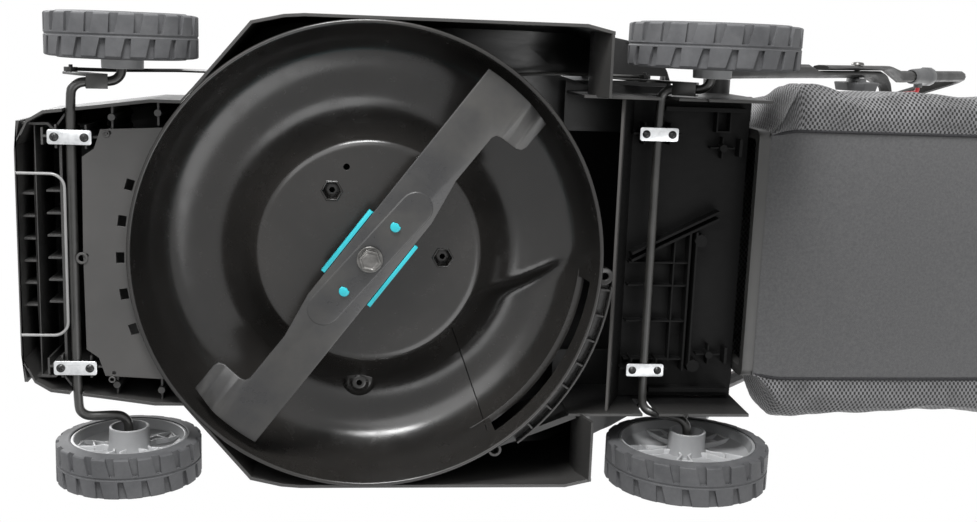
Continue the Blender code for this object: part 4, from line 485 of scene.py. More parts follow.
def knitFinish():
    # open knit mesh: staggered eyelets painted near black between shiny yarns, painted shade for the dark
    # inside seen through the holes
    made, tree, shader, where = startFinish("bagMesh", (0.09, 0.09, 0.092), 0.6, 0.0, 0.4)
    first, second = threads(tree, 0.0048, 0.0070)
    eyelet = combine(tree, "MULTIPLY", first, second)
    uneven = cloudy(tree, where, 30.0, 5.0)
    yarn = spread(tree, eyelet, 1.0, 0.0, -0.10, 0.25)
    bright = between(tree, spread(tree, uneven, 0.0, 1.0), (0.120, 0.120, 0.123), (0.230, 0.230, 0.236))
    # the eyelets get near black, painted shade where the holes would show the bag's dark inside
    tree.links.new(between(tree, yarn, (0.004, 0.004, 0.004), bright), shader.inputs["Base Color"])
    tree.links.new(spread(tree, uneven, 0.5, 0.7), shader.inputs["Roughness"])
    addBumps(tree, shader, [(yarn, 0.0007)])
    shader.inputs["Sheen Weight"].default_value = 0.15
    return made


# the chute floor's painted shade starts just above this height
floorEdge = boxOf("chute_floor")[0].z  # height of the rib edges under the chute's floor

finishes = {
    # painted shade: the deck is painted towards black with height, deep in its underside
    "deck": mouldedPlastic("deckPlastic", (0.034, 0.0335, 0.033), (0.050, 0.049, 0.047), 0.38,
                           paintedShade=(0.060, 0.110, 0.004)),
    # the chute floor is a lighter copy of the deck plastic, a painted highlight on its rib edges, and is
    # painted near black above them as painted shade
    "floor": mouldedPlastic("floorPaintedLightShade", (0.085, 0.082, 0.080), (0.120, 0.116, 0.112), 0.60, specular=0.12,
                            paintedShade=(floorEdge + 0.002, floorEdge + 0.010, 0.0035)),
    "baffle": mouldedPlastic("bafflePlastic", (0.045, 0.044, 0.043), (0.066, 0.064, 0.062), 0.50),
    "cover": mouldedPlastic("coverPlastic", (0.030, 0.031, 0.033), (0.042, 0.043, 0.045), 0.38),
    "accent": mouldedPlastic("tealPlastic", (0.030, 0.480, 0.570), (0.045, 0.580, 0.660), 0.34, cloud=40.0),
    # the nose lip is the deck's black plastic painted light grey, a painted highlight
    "lip": mouldedPlastic("lipPaintedHighlight", (0.230, 0.230, 0.228), (0.330, 0.330, 0.327), 0.18),
    # spoke walls: a lighter copy of the wheel plastic, a painted highlight on the ridges of the same moulding
    "ridge": mouldedPlastic("ridgePaintedHighlight", (0.420, 0.424, 0.430), (0.500, 0.505, 0.512), 0.40, cloud=24.0),
    "screw": paintedSteel("screwBlack", (0.012, 0.012, 0.012), (0.030, 0.030, 0.030), 0.30, 0.4),
    "wheel": mouldedPlastic("wheelPlastic", (0.270, 0.273, 0.278), (0.330, 0.334, 0.340), 0.42, cloud=24.0),
    "knob": mouldedPlastic("knobPlastic", (0.060, 0.061, 0.063), (0.085, 0.086, 0.088), 0.45, cloud=50.0),
    "trim": mouldedPlastic("trimPlastic", (0.030, 0.030, 0.029), (0.048, 0.047, 0.045), 0.45),
    "rod": paintedSteel("rodPaint", (0.018, 0.018, 0.017), (0.034, 0.033, 0.031), 0.34, edge=0.0004),
    "tube": paintedSteel("tubePaint", (0.014, 0.0135, 0.013), (0.024, 0.0235, 0.023), 0.44,
                         coat=0.0, specular=0.18),
    "bail": paintedSteel("bailPaint", (0.480, 0.012, 0.018), (0.620, 0.022, 0.028), 0.34),
    "zinc": bareSteel("zincPlate", (0.520, 0.530, 0.540), (0.700, 0.710, 0.720), 0.34, 0.0005),
    "bolt": bareSteel("boltSteel", (0.090, 0.088, 0.085), (0.170, 0.166, 0.160), 0.34),
    "motor": bareSteel("motorSteel", (0.300, 0.305, 0.310), (0.420, 0.425, 0.430), 0.42),
    "blade": bladeFinish(),
    "bowl": bowlFinish(),
    "rubber": rubberFinish(),
    "foam": foamFinish(),
    "woven": wovenFinish(),
    "knit": knitFinish(),
}
print("finishes made", len(finishes))


# Bowl: a deep channel round a flat disc, whose roof climbs to the outlet
bowl = {"steps": 160, "wall": 0.003, "rim": 0.224, "rimHeight": 0.043, "disc": 0.110, "discHeight": 0.088,
        "shaft": 0.0215, "roofLow": 0.118, "roofHigh": 0.133, "full": 0.205, "climb": 1.12,
        "foldIn": 201.0, "foldOut": 178.0, "foldWidth": 7.0, "seamIn": 222.0, "seamOut": 236.0,
        "seam": 0.0008, "outlet": (186.0, 234.0), "outletZ": (0.073, 0.099),
        "wells": ((0.038, 0.061), (-0.073, -0.004)), "wellSize": 0.0092, "vent": (0.024, 0.085),
        "ventSize": 0.0032, "boss": (0.008, -0.143), "ladderZ": (0.060, 0.072), "ladderDepth": 0.016,
        "rungs": 7, "rungStep": 6.5}


def roofAt(angle, radius):
    share = min(max((radius - bowl["disc"]) / (bowl["full"] - bowl["disc"]), 0.0), 1.0)
    fold = bowl["foldIn"] + (bowl["foldOut"] - bowl["foldIn"]) * share
    travelled = (fold - angle) % 360.0 / 360.0
    height = min(travelled * bowl["climb"], 1.0)
    past = (angle - fold) % 360.0
    if past < bowl["foldWidth"]:
        t = past / bowl["foldWidth"]
        height = t * t * (3 - 2 * t)
    return bowl["roofLow"] + (bowl["roofHigh"] - bowl["roofLow"]) * height


def bowlProfile():
    rim, disc, flat = bowl["rim"], bowl["disc"], bowl["discHeight"]
    middle = (bowl["roofLow"] + bowl["roofHigh"]) / 2
    turned = [(rim, bowl["rimHeight"]), (rim - 0.0008, 0.060), (rim - 0.0035, 0.080),
              (rim - 0.0105, middle - 0.0265),
              (rim - 0.0245, middle - 0.0100), (rim - 0.0420, middle - 0.0020), (0.162, middle),
              (0.145, middle - 0.0035), (0.1285, middle - 0.0150), (disc + 0.0065, flat + 0.0085),
              (disc + 0.0015, flat + 0.0025), (disc - 0.0035, flat + 0.0003), (disc - 0.010, flat)]
    inside = [tuple(point) for point in smoothLine(turned, 5)]
    inside += [(0.085, flat), (0.060, flat), (bowl["shaft"], flat)]
    outside = []
    for k, (r, z) in enumerate(inside):
        ahead = Vector(inside[min(k + 1, len(inside) - 1)]) - Vector(inside[max(k - 1, 0)])
        away = Vector((-ahead.y, ahead.x)).normalized()
        if away.y < 0 or (abs(away.y) < 0.05 and away.x < 0):
            away = -away
        outside.append((r + away.x * bowl["wall"], z + away.y * bowl["wall"]))
    return inside, outside


def makeBowl():
    inside, outside = bowlProfile()
    outside[0] = (inside[0][0] + bowl["wall"], inside[0][1])
    shell = lathe("bladeBowl", inside + outside[::-1], tuple(spindle), "Z", steps=bowl["steps"])
    middle = (bowl["roofLow"] + bowl["roofHigh"]) / 2
    for vert in shell.data.vertices:
        offset = vert.co - spindle
        radius = math.hypot(offset.x, offset.y)
        angle = math.degrees(math.atan2(offset.y, offset.x)) % 360.0
        lift = roofAt(angle, radius) - middle
        share = min(max((vert.co.z - bowl["discHeight"]) / (middle - bowl["discHeight"]), 0.0), 1.0)
        vert.co.z += lift * share ** 1.3
    return shell


def onPlan(radius, angle, height=0.0):
    turned = math.radians(angle)
    return Vector((spindle.x + radius * math.cos(turned), spindle.y + radius * math.sin(turned), height))


def openBowl(shell):
    start, end = bowl["outlet"]
    low, high = bowl["outletZ"]
    window = lathe("window", [(0.190, low), (0.250, low), (0.250, high), (0.190, high)], tuple(spindle), "Z",
                   end - start, start, 24)
    carve(shell, [window])
    seam = wall("seam", onPlan(0.1135, bowl["seamIn"]).to_2d(), onPlan(0.221, bowl["seamOut"]).to_2d(),
                0.060, 0.150, bowl["seam"])
    carve(shell, [seam])
    holes = []
    cuts = [(*well, bowl["wellSize"], 6) for well in bowl["wells"]] + [(*bowl["vent"], bowl["ventSize"], 20)]
    for x, y, radius, sides in cuts:
        outline = [(spindle.x + x + radius * math.cos(math.tau * k / sides),
                    spindle.y + y + radius * math.sin(math.tau * k / sides)) for k in range(sides)]
        holes.append(block("hole", outline, bowl["discHeight"] - 0.01, bowl["discHeight"] + 0.01))
    carve(shell, holes)


def nutWells():
    # raised collars round the two nut wells, the nuts deep in them, and the channel's dimple boss
    pieces = []
    for x, y in bowl["wells"]:
        centre = (spindle.x + x, spindle.y + y, 0.0)
        flat = bowl["discHeight"]
        ring = [(0.0093, flat + 0.011), (0.0093, flat - 0.0008), (0.0099, flat - 0.0012),
                (0.0106, flat - 0.0010), (0.0112, flat + 0.0005), (0.0112, flat + 0.011)]
        pieces.append(lathe("well", ring, centre, "Z", steps=6))
        nut = [(0.0030, flat + 0.0092), (0.0072, flat + 0.0092), (0.0092, flat + 0.0100),
               (0.0092, flat + 0.0112), (0.0030, flat + 0.0112)]
        pieces.append(lathe("nut", nut, centre, "Z", steps=6))
    centre = (spindle.x + bowl["boss"][0], spindle.y + bowl["boss"][1], 0.0)
    top = roofAt(270.0, -bowl["boss"][1]) - 0.0035
    dome = [(0.0022, top - 0.0075), (0.0030, top - 0.0090), (0.0058, top - 0.0094), (0.0078, top - 0.0085),
            (0.0088, top - 0.0070), (0.0110, top - 0.0062), (0.0138, top - 0.0052), (0.0158, top - 0.0030),
            (0.0170, top + 0.0010), (0.0172, top + 0.0060), (0.0022, top + 0.0060)]
    pieces.append(lathe("dimple", dome, centre, "Z", steps=40))
    return pieces


def rimBead():
    # the rolled lip that stiffens the rim
    middle, low = bowl["rim"] + bowl["wall"] * 0.45, 0.0436
    section = [(middle + 0.0021 * math.cos(math.tau * k / 10), low + 0.0019 * math.sin(math.tau * k / 10))
               for k in range(10)]
    pieces = [lathe("rimBead", section, tuple(spindle), "Z", steps=bowl["steps"])]
    # the thin edge over the outlet, inside the bowl
    start, end = bowl["outlet"]
    high = bowl["outletZ"][1]
    inner = bowl["rim"] - 0.0105
    edge = [(inner, high), (inner + 0.0009, high - 0.0006), (inner + 0.0075, high - 0.0004),
            (inner + 0.0075, high + 0.0012)]
    pieces.append(lathe("outletEdge", edge, tuple(spindle), "Z", end - start + 8.0, start - 2.0, 30))
    return pieces


def outletLadder():
    # rungs between two thin rails outside the rim, and the ring bracket at their end
    start, end = bowl["outlet"]
    inner, outer = bowl["rim"] + 0.0005, bowl["rim"] + bowl["wall"] + bowl["ladderDepth"]
    low, high = bowl["ladderZ"]
    pieces = []
    rails = ((outer - 0.002, outer, low, high), (inner, outer - 0.001, high - 0.0022, high))
    for inside, outside, bottom, top in rails:
        band = [(inside, bottom), (outside, bottom), (outside, top), (inside, top)]
        pieces.append(lathe("rail", band, tuple(spindle), "Z", end - 3.0 - start, start, 28))
    for k in range(bowl["rungs"]):
        angle = start + 1.0 + k * bowl["rungStep"]
        near, far = onPlan(inner + 0.002, angle).to_2d(), onPlan(outer - 0.001, angle).to_2d()
        pieces.append(wall("rung", near, far, low + 0.0008, high - 0.001, 0.0019))
    centre = onPlan(bowl["rim"] + 0.0092, start - 2.4)
    ring = [(0.0036, low), (0.0048, low - 0.0008), (0.0085, low - 0.0008), (0.0085, high), (0.0036, high)]
    pieces.append(lathe("ring", ring, tuple(centre), "Z", steps=28))
    centre = onPlan(bowl["rim"] + 0.0060, end + 2.2)
    ring = [(0.0042, low - 0.012), (0.0068, low - 0.012), (0.0068, high - 0.004), (0.0042, high - 0.004)]
    pieces.append(lathe("ring", ring, tuple(centre), "Z", steps=28))
    return pieces


shell = makeBowl()
openBowl(shell)
shell = joinUp([shell] + nutWells() + rimBead() + outletLadder(), "bladeBowl")
soften(shell, 0.0, smooth=40.0)
dress(shell, "deck", "deck_plastic", finishes["bowl"], "blade_housing")
print("bowl made")


# Tyres: a round carcass with two rows of wide blocks and narrow tapered grooves between them
tyre = {"blocks": 20, "depth": 0.0032, "wall": 0.0135, "shoulder": 0.0030, "grooveWide": 0.42,
        "grooveNarrow": 0.24, "slant": 0.16, "band": 0.06, "past": 0.004, "steps": 120}


def tyreProfile(radius, width):
    bore = radius - tyre["wall"]
    bend = tyre["shoulder"]
    rim = [(bore, 0.0), (bore + 0.0018, -0.0002), (bore + 0.0034, 0.0006), (radius - bend - 0.0012, 0.0010),
           (radius - bend * 0.35, 0.0010 + bend * 0.25), (radius, bend * 0.95), (radius, width * 0.47),
           (radius - 0.0007, width * 0.485), (radius - 0.0007, width * 0.5)]
    far = [(r, width - y) for r, y in rim[:-1]]
    return rim + far[::-1]


def wedge(points):
    # a cube primitive whose eight corners go to the given points
    letGo()
    bpy.ops.mesh.primitive_cube_add(size=1.0)
    cutter = bpy.context.active_object
    order = {(-1, -1, -1): 0, (1, -1, -1): 1, (1, 1, -1): 2, (-1, 1, -1): 3,
             (-1, -1, 1): 4, (1, -1, 1): 5, (1, 1, 1): 6, (-1, 1, 1): 7}
    for vert in cutter.data.vertices:
        sign = tuple(1 if value > 0 else -1 for value in vert.co)
        vert.co = points[order[sign]]
    bpy.ops.object.mode_set(mode="EDIT")
    bpy.ops.mesh.select_all(action="SELECT")
    bpy.ops.mesh.normals_make_consistent(inside=False)
    bpy.ops.object.mode_set(mode="OBJECT")
    return cutter


def grooveCutters(radius, width, centre, inner):
    # wedges that narrow from the shoulder to the middle, a half pitch apart in the two rows
    cutters = []
    pitch = math.tau / tyre["blocks"]
    low, high = radius - tyre["depth"], radius + tyre["past"]
    for row in (0, 1):
        shoulder = width + tyre["past"] if row else -tyre["past"]
        middle = width * (0.5 + tyre["band"]) if row else width * (0.5 - tyre["band"])
        slant = -tyre["slant"] if row else tyre["slant"]
        edges = ((shoulder, tyre["grooveWide"], slant), (middle, tyre["grooveNarrow"], -slant))
        for k in range(tyre["blocks"]):
            base = pitch * (k + 0.5 * row + 0.25)
            corners = []
            for along, share, lean in edges:
                for side in (-0.5, 0.5):
                    corners.append((base + pitch * (share * side + lean * 0.5), along))
            corners = [corners[0], corners[1], corners[3], corners[2]]
            points = []
            for reach in (low, high):
                for angle, along in corners:
                    points.append(Vector((centre.x + reach * math.cos(angle), inner + along,
                                          centre.z + reach * math.sin(angle))))
            cutters.append(wedge(points))
    return cutters


def makeTyres(end):
    node = f"{end}_left_tyre"
    low, high, centre = boxOf(node)
    radius, width = (high.z - low.z) / 2, high.y - low.y
    inner = (centre.x, low.y, centre.z)
    piece = lathe(f"{end}LeftTyre", tyreProfile(radius, width), inner, "Y", steps=tyre["steps"])
    carve(piece, grooveCutters(radius, width, centre, low.y))
    soften(piece, 0.0, smooth=32.0)
    other = twin(piece, f"{end}RightTyre")
    dress(piece, f"{end}_left_wheel_unit", "tyre_rubber", finishes["rubber"], node)
    dress(other, f"{end}_right_wheel_unit", "tyre_rubber", finishes["rubber"], f"{end}_right_tyre")


for end in ("front", "rear"):
    makeTyres(end)
print("tyres made")


# Wheel discs: hub tube, dished web and rim in one moulding, with five pocketed spokes inside
disc = {"hub": 0.019, "proud": 0.0095, "wall": 0.0019, "spokes": 5, "web": 0.42, "bore": 0.0048}


def discProfile(radius, width):
    rim = radius - tyre["wall"] - 0.0004
    hub, web = disc["hub"], width * disc["web"]
    inner = [(disc["bore"], 0.0005), (hub - 0.0065, 0.0005), (hub - 0.0058, 0.0012), (hub - 0.0030, 0.0012),
             (hub - 0.0026, -disc["proud"] + 0.0006), (hub - 0.0020, -disc["proud"]),
             (hub - 0.0006, -disc["proud"]), (hub, -disc["proud"] + 0.0006),
             (hub + 0.0006, web * 0.35), (hub + 0.0022, web * 0.75),
             (hub + 0.0070, web - 0.0035), (rim - 0.0140, web - 0.0050), (rim - 0.0060, web * 0.55),
             (rim - 0.0034, 0.0030), (rim - 0.0030, 0.0012), (rim - 0.0022, 0.0006), (rim, 0.0010)]
    outer = [(rim, width - 0.0010), (rim - 0.0022, width - 0.0006), (rim - 0.0030, width - 0.0012),
             (rim - 0.0044, web + 0.0030), (rim - 0.0100, web + 0.0006), (hub + 0.0090, width - 0.0100),
             (hub + 0.0010, width - 0.0066), (hub - 0.0010, width - 0.0062), (disc["bore"], width - 0.0062)]
    return inner + outer


def spokeWalls(radius, width, centre, inner):
    rim = radius - tyre["wall"] - 0.0020
    hub, web = disc["hub"] - 0.0004, width * disc["web"]
    middle = (hub + rim) / 2
    thick = disc["wall"]
    lines = [((hub, -0.0062), (hub + 0.006, -0.0034)), ((hub + 0.006, -0.0034), (middle - 0.0040, -0.0078)),
             ((middle - 0.0040, -0.0078), (rim, -0.0094)), ((hub, 0.0062), (hub + 0.006, 0.0034)),
             ((hub + 0.006, 0.0034), (middle + 0.0010, 0.0078)), ((middle + 0.0010, 0.0078), (rim, 0.0074)),
             ((middle - 0.0045, -0.0078), (middle + 0.0005, 0.0076)),
             ((rim - 0.0075, 0.0072), (rim - 0.0045, -0.0090))]
    pieces = []
    for k in range(disc["spokes"]):
        swing = Matrix.Rotation(math.tau * k / disc["spokes"], 4, "Y")
        plane = Matrix.Translation((centre.x, inner, centre.z)) @ swing @ Matrix(
            ((1, 0, 0, 0), (0, 0, 1, 0), (0, 1, 0, 0), (0, 0, 0, 1)))
        for start, end in lines:
            pieces.append(wall("spoke", start, end, web - 0.0092, web + 0.0005, thick, plane))
    return pieces


def makeDiscs(end):
    node = f"{end}_left_wheel"
    low, high, centre = boxOf(f"{end}_left_tyre")
    radius, width = (high.z - low.z) / 2, high.y - low.y
    moulding = lathe(f"{end}LeftDisc", discProfile(radius, width), (centre.x, low.y, centre.z), "Y", steps=80)
    walls = joinUp(spokeWalls(radius, width, centre, low.y), "spokes")
    soften(walls, 0.0004, 2, 40.0, 30.0)
    # the spoke walls get the lighter copy, a painted highlight where they catch the light
    walls.data.materials.append(finishes["ridge"])
    moulding.data.materials.append(finishes["wheel"])
    piece = joinUp([moulding, walls], f"{end}LeftDisc")
    soften(piece, 0.0, smooth=30.0)
    other = twin(piece, f"{end}RightDisc")
    dress(piece, f"{end}_left_wheel_unit", "wheel_plastic", None, node)
    dress(other, f"{end}_right_wheel_unit", "wheel_plastic", None, f"{end}_right_wheel")


for end in ("front", "rear"):
    makeDiscs(end)
print("wheel discs made")


# Bag: plain woven floor, knitted mesh sides that sag, all sewn to the stiff frame
bag = {"along": 150, "floorSteps": 24, "sideSteps": 44, "topSteps": 12, "mouth": 0.131, "bulge": 0.176,
       "rise": 0.020, "fold": 0.0120, "pleat": 0.0065, "wall": 0.0012, "opens": 0.032, "closesAt": 0.72,
       "closesOver": 0.28, "gather": 0.10, "piping": 0.0017, "pipingSteps": 60}


def bagSwell(share):
    # out and a little down from the seam, fullest low, then up to the stiff lid
    table = [(0.0, 0.0, 0.0), (0.10, 0.42, -0.020), (0.20, 0.76, 0.000), (0.30, 0.97, 0.070),
             (0.38, 1.0, 0.160), (0.52, 0.93, 0.340), (0.70, 0.74, 0.600), (1.0, 0.55, 1.0)]
    for (a, out, up), (b, outNext, upNext) in zip(table, table[1:]):
        if a <= share <= b:
            t = (share - a) / (b - a)
            return out + (outNext - out) * t, up + (upNext - up) * t
    return table[-1][1:]


def bagStation(s, length):
    # half width at the floor and at the bulge, a distance behind the mouth
    t = s / length
    mouth = bag["mouth"]
    openUp = min(s / bag["opens"], 1.0)
    openUp = openUp * openUp * (3 - 2 * openUp)
    closeUp = max((t - bag["closesAt"]) / bag["closesOver"], 0.0) ** 2
    half = mouth - 0.004 + 0.004 * openUp - 0.030 * closeUp
    bulge = mouth - 0.002 + (bag["bulge"] - mouth) * openUp - 0.045 * closeUp
    return half, bulge


def bagRing(s, length, low, high):
    half, bulge = bagStation(s, length)
    floor = low.z + bag["rise"] * (s / length) ** 3
    top = high.z - 0.0004
    near = math.exp(-s / bag["gather"])  # the gathers are strongest at the mouth
    ring = []
    for k in range(bag["floorSteps"]):
        y = half * (1 - 2 * k / bag["floorSteps"])
        across = math.sin(math.pi * k / bag["floorSteps"])
        ring.append(Vector((high.x - s, y, floor + 0.0012 * across * math.sin(math.pi * s / length))))
    for side in (-1, 1):
        strip = []
        for k in range(bag["sideSteps"]):
            share = k / bag["sideSteps"]
            out, up = bagSwell(share)
            y, z = half + (bulge - half) * out, floor + (top - floor) * up
            envelope = math.sin(math.pi * min(share * 1.4, 1.0)) ** 0.8 * min(s / 0.02, 1.0)
            envelope *= min((length - s) / 0.03, 1.0)
            point = Vector((s * 7.0 + side * 2.1, share * 3.0 + s * 2.0, side * 3.1))
            ripple = noise.noise(point) + 0.55 * noise.noise(point * 2.3) + 0.3 * noise.noise(point * 5.1)
            pleat = math.sin(s * 120.0 * (0.35 + near) + share * (9.0 - 4.0 * side) + side)
            pleat = pleat * (0.35 + near) * (0.6 + 0.4 * noise.noise(point * 1.7))
            twist = math.sin(s * 62.0 - share * 10.0 + 1.2 * side) * near
            y += envelope * (bag["fold"] * ripple + bag["pleat"] * pleat)
            z += envelope * (bag["fold"] * 0.5 * ripple + bag["pleat"] * 0.9 * twist)
            strip.append(Vector((high.x - s, side * y, max(z, floor - 0.010 * min(share * 8.0, 1.0)))))
        if side < 0:
            ring += strip
        else:
            right = strip
    width = bulge * 0.55 + half * 0.45
    for k in range(bag["topSteps"]):
        ring.append(Vector((high.x - s, -width + 2 * width * k / bag["topSteps"], top)))
    # the far side runs from the lid down to its seam
    first = Vector((high.x - s, half, floor))
    ring += right[:0:-1] + [first]
    return ring


def makeBag():
    low, high, _ = boxOf("bag_fabric")
    length = high.x - low.x
    rings = [bagRing(length * i / bag["along"], length, low, high) for i in range(bag["along"] + 1)]
    middle = sum(rings[-1], Vector()) / len(rings[-1])
    # smaller and smaller rings close the rear end
    for share, back in ((0.985, 0.0012), (0.94, 0.0022), (0.80, 0.0030), (0.55, 0.0036), (0.25, 0.0040)):
        rings.append([middle + (point - middle) * share - Vector((back, 0, 0))
                      for point in rings[bag["along"]]])
    around = len(rings[0])
    rows = len(rings) - 1
    verts, maps = [], []
    for i, ring in enumerate(rings):
        v = 0.0
        for j, point in enumerate(ring):
            if j:
                v += (ring[j] - ring[j - 1]).yz.length
            verts.append(point)
            maps.append((length * i / bag["along"], v))
    faces = []
    for i in range(rows):
        for j in range(around):
            k = (j + 1) % around
            faces.append((i * around + j, i * around + k, (i + 1) * around + k, (i + 1) * around + j))
    mesh = bpy.data.meshes.new("bagShell")
    mesh.from_pydata(verts, [], faces)
    layer = mesh.uv_layers.new(name="cloth")
    for polygon in mesh.polygons:
        for n in polygon.loop_indices:
            layer.data[n].uv = maps[mesh.loops[n].vertex_index]
        column = polygon.index % around
        polygon.material_index = 0 if column < bag["floorSteps"] or column == around - 1 else 1
    piece = bpy.data.objects.new("bagShell", mesh)
    bpy.context.scene.collection.objects.link(piece)
    mesh.materials.append(finishes["woven"])
    mesh.materials.append(finishes["knit"])
    takeUp(piece)
    bpy.ops.object.mode_set(mode="EDIT")
    bpy.ops.mesh.select_mode(type="VERT")
    bpy.ops.mesh.select_all(action="DESELECT")
    bpy.ops.object.mode_set(mode="OBJECT")
    for vert in mesh.vertices:
        vert.select = vert.index >= rows * around
    bpy.ops.object.mode_set(mode="EDIT")
    bpy.ops.mesh.edge_face_add()
    bpy.ops.mesh.select_all(action="SELECT")
    bpy.ops.mesh.remove_doubles(threshold=0.00001)
    bpy.ops.mesh.normals_make_consistent(inside=False)
    bpy.ops.object.mode_set(mode="OBJECT")
    skin = piece.modifiers.new("wall", "SOLIDIFY")
    skin.thickness = bag["wall"]
    skin.offset = -1.0
    applyAll(piece)
    bpy.ops.object.shade_smooth_by_angle(angle=math.radians(60.0))
    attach(piece, "bag")
    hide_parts("bag_fabric")
    return length


def bagPiping(length):
    # folded binding along both edges of the floor panel
    low, high, _ = boxOf("bag_fabric")
    for side, word in ((1, "Left"), (-1, "Right")):
        points = []
        for k in range(bag["pipingSteps"] + 1):
            s = 0.002 + (length - 0.006) * k / bag["pipingSteps"]
            half, _ = bagStation(s, length)
            points.append((high.x - s, side * (half + 0.0008),
                           low.z + bag["rise"] * (s / length) ** 3 - 0.0002))
        dress(tube(f"bagPiping{word}", points, bag["piping"], False), "bag", "bag_cloth", finishes["foam"])


bagLength = makeBag()
bagPiping(bagLength)
print("bag made")


# Blade: cranked wings, a pressed stadium in the middle, its bolt and the adaptor's two pegs
blade = {"heading": 127.0, "radius": 0.215, "thick": 0.003, "width": 0.051, "waist": 0.0435, "wing": 0.079,
         "wingLength": 0.044, "lift": 0.012, "bulge": (0.166, 0.033), "bulgeTurn": -4.0, "press": 0.0042,
         "peg": 0.0051, "pegFlat": 0.0028, "pegs": 0.080, "hex": 0.0112, "hexTurn": 12, "hexHeight": 0.0072}


def bladePlan(radius):
    lead = blade["width"] / 2
    trail = lead - blade["waist"]
    wing = lead - blade["wing"]
    far = math.sqrt(radius ** 2 - wing ** 2)
    root = far - blade["wingLength"] + 0.006
    half = [(blade["bulge"][0] / 2 - 0.019, -lead), (blade["bulge"][0] / 2 + 0.028, trail),
            (root - 0.006, trail - 0.0008),
            (root - 0.0015, trail - 0.0030), (root, trail - 0.0080), (root + 0.0008, wing + 0.0080),
            (root + 0.0030, wing + 0.0024), (root + 0.0085, wing + 0.0004)]
    first, last = math.asin(wing / radius), math.asin((lead - 0.001) / radius)
    for k in range(11):
        angle = first + (last - first) * k / 10
        half.append((radius * math.cos(angle), radius * math.sin(angle)))
    return half + [(-u, -n) for u, n in half]


def makeBlade():
    under = boxOf("blade")[0].z + 0.002
    boltLow, boltHigh = boxOf("blade_bolt")[0].z, boxOf("blade_bolt")[1].z
    heading = Matrix.Rotation(math.radians(blade["heading"]), 4, "Z")
    place = Matrix.Translation(spindle) @ heading @ Matrix.Diagonal((1, -1, 1, 1))
    steel = block("bladeSteel", bladePlan(blade["radius"]), under, under + blade["thick"])
    trail = blade["width"] / 2 - blade["waist"]
    bpy.ops.object.mode_set(mode="EDIT")
    for side in (1, -1):
        for n in (0.004, 0.010, 0.016, 0.024):
            bpy.ops.mesh.select_all(action="SELECT")
            bpy.ops.mesh.bisect(plane_co=(0, side * (trail - n), 0), plane_no=(0, 1, 0))
    bpy.ops.object.mode_set(mode="OBJECT")
    for vert in steel.data.vertices:
        side = 1 if vert.co.x > 0 else -1
        behind = trail - vert.co.y * side - 0.004
        if behind > 0 and abs(vert.co.x) > 0.150:
            t = min(behind / (blade["wing"] - blade["waist"] - 0.004), 1.0)
            vert.co.z += blade["lift"] * t * t * (3 - 2 * t)
    long, wide = blade["bulge"]
    ends = []
    for side in (1, -1):
        for k in range(13):
            angle = math.radians(-90 + 15 * k) if side > 0 else math.radians(90 + 15 * k)
            ends.append((side * (long - wide) / 2 + wide / 2 * math.cos(angle), wide / 2 * math.sin(angle)))
    turn = Matrix.Rotation(math.radians(blade["bulgeTurn"]), 4, "Z")
    pressed = block("pressed", ends, under - blade["press"], under + 0.001, turn)
    takeUp(pressed)
    for polygon in pressed.data.polygons:
        polygon.select = polygon.normal.z < -0.9
    bpy.ops.object.mode_set(mode="EDIT")
    bpy.ops.mesh.select_mode(type="FACE")
    bpy.ops.mesh.inset(thickness=0.0050)
    bpy.ops.mesh.inset(thickness=0.0026)
    bpy.ops.transform.translate(value=(0, 0, 0.0036))
    bpy.ops.object.mode_set(mode="OBJECT")
    soften(pressed, 0.0016, 4, 20.0, 60.0)
    soften(steel, 0.0005, 2, 40.0, 25.0)
    piece = joinUp([steel, pressed], "bladeSteel")
    piece.data.transform(place)
    piece.data.flip_normals()
    dress(piece, "cutter", "blade_steel", finishes["blade"], "blade")

    pegs = []
    flat = math.acos(blade["pegFlat"] / blade["peg"])
    for side in (1, -1):
        outline = [(side * blade["pegs"] / 2 + blade["peg"] * math.cos(flat + (math.tau - 2 * flat) * k / 22),
                    blade["peg"] * math.sin(flat + (math.tau - 2 * flat) * k / 22)) for k in range(23)]
        pegs.append(block("peg", outline, under - 0.0030, under + 0.001))
    pegs = joinUp(pegs, "adaptorPegs")
    soften(pegs, 0.0008, 3, 40.0, 40.0)
    pegs.data.transform(place)
    pegs.data.flip_normals()
    dress(pegs, "cutter", "accent_plastic", finishes["accent"])

    hexagon = []
    for k in range(6):
        angle = math.radians(blade["hexTurn"] + 60 * k)
        hexagon.append((spindle.x + blade["hex"] * math.cos(angle),
                        spindle.y + blade["hex"] * math.sin(angle)))
    head = block("bladeBolt", hexagon, boltLow, boltLow + blade["hexHeight"])
    for polygon in head.data.polygons:
        polygon.select = polygon.normal.z < -0.9
    bpy.ops.object.mode_set(mode="EDIT")
    bpy.ops.mesh.select_mode(type="FACE")
    bpy.ops.mesh.inset(thickness=0.0018)
    bpy.ops.mesh.inset(thickness=0.0012)
    bpy.ops.transform.translate(value=(0, 0, 0.0012))
    bpy.ops.object.mode_set(mode="OBJECT")
    soften(head, 0.0006, 3, 25.0, 35.0)
    shank = [(0.0, boltLow + 0.0062), (0.0124, boltLow + 0.0062), (0.0130, boltLow + 0.0068),
             (0.0130, boltLow + 0.0086), (0.0049, boltLow + 0.0086), (0.0049, boltHigh - 0.001),
             (0.0042, boltHigh), (0.0, boltHigh)]
    rest = lathe("washer", shank, tuple(spindle), "Z", steps=40)
    soften(rest, 0.0, smooth=35.0)
    head = joinUp([head, rest], "bladeBolt")
    dress(head, "cutter", "bolt_steel", finishes["bolt"], "blade_bolt")


makeBlade()
print("blade made")


# Clamps: zinc straps over the rods, each held by two black cross-head screws
clamp = {"long": 0.040, "wide": 0.0138, "thick": 0.002, "corner": 0.0024, "screws": 0.027,
         "head": 0.0041}


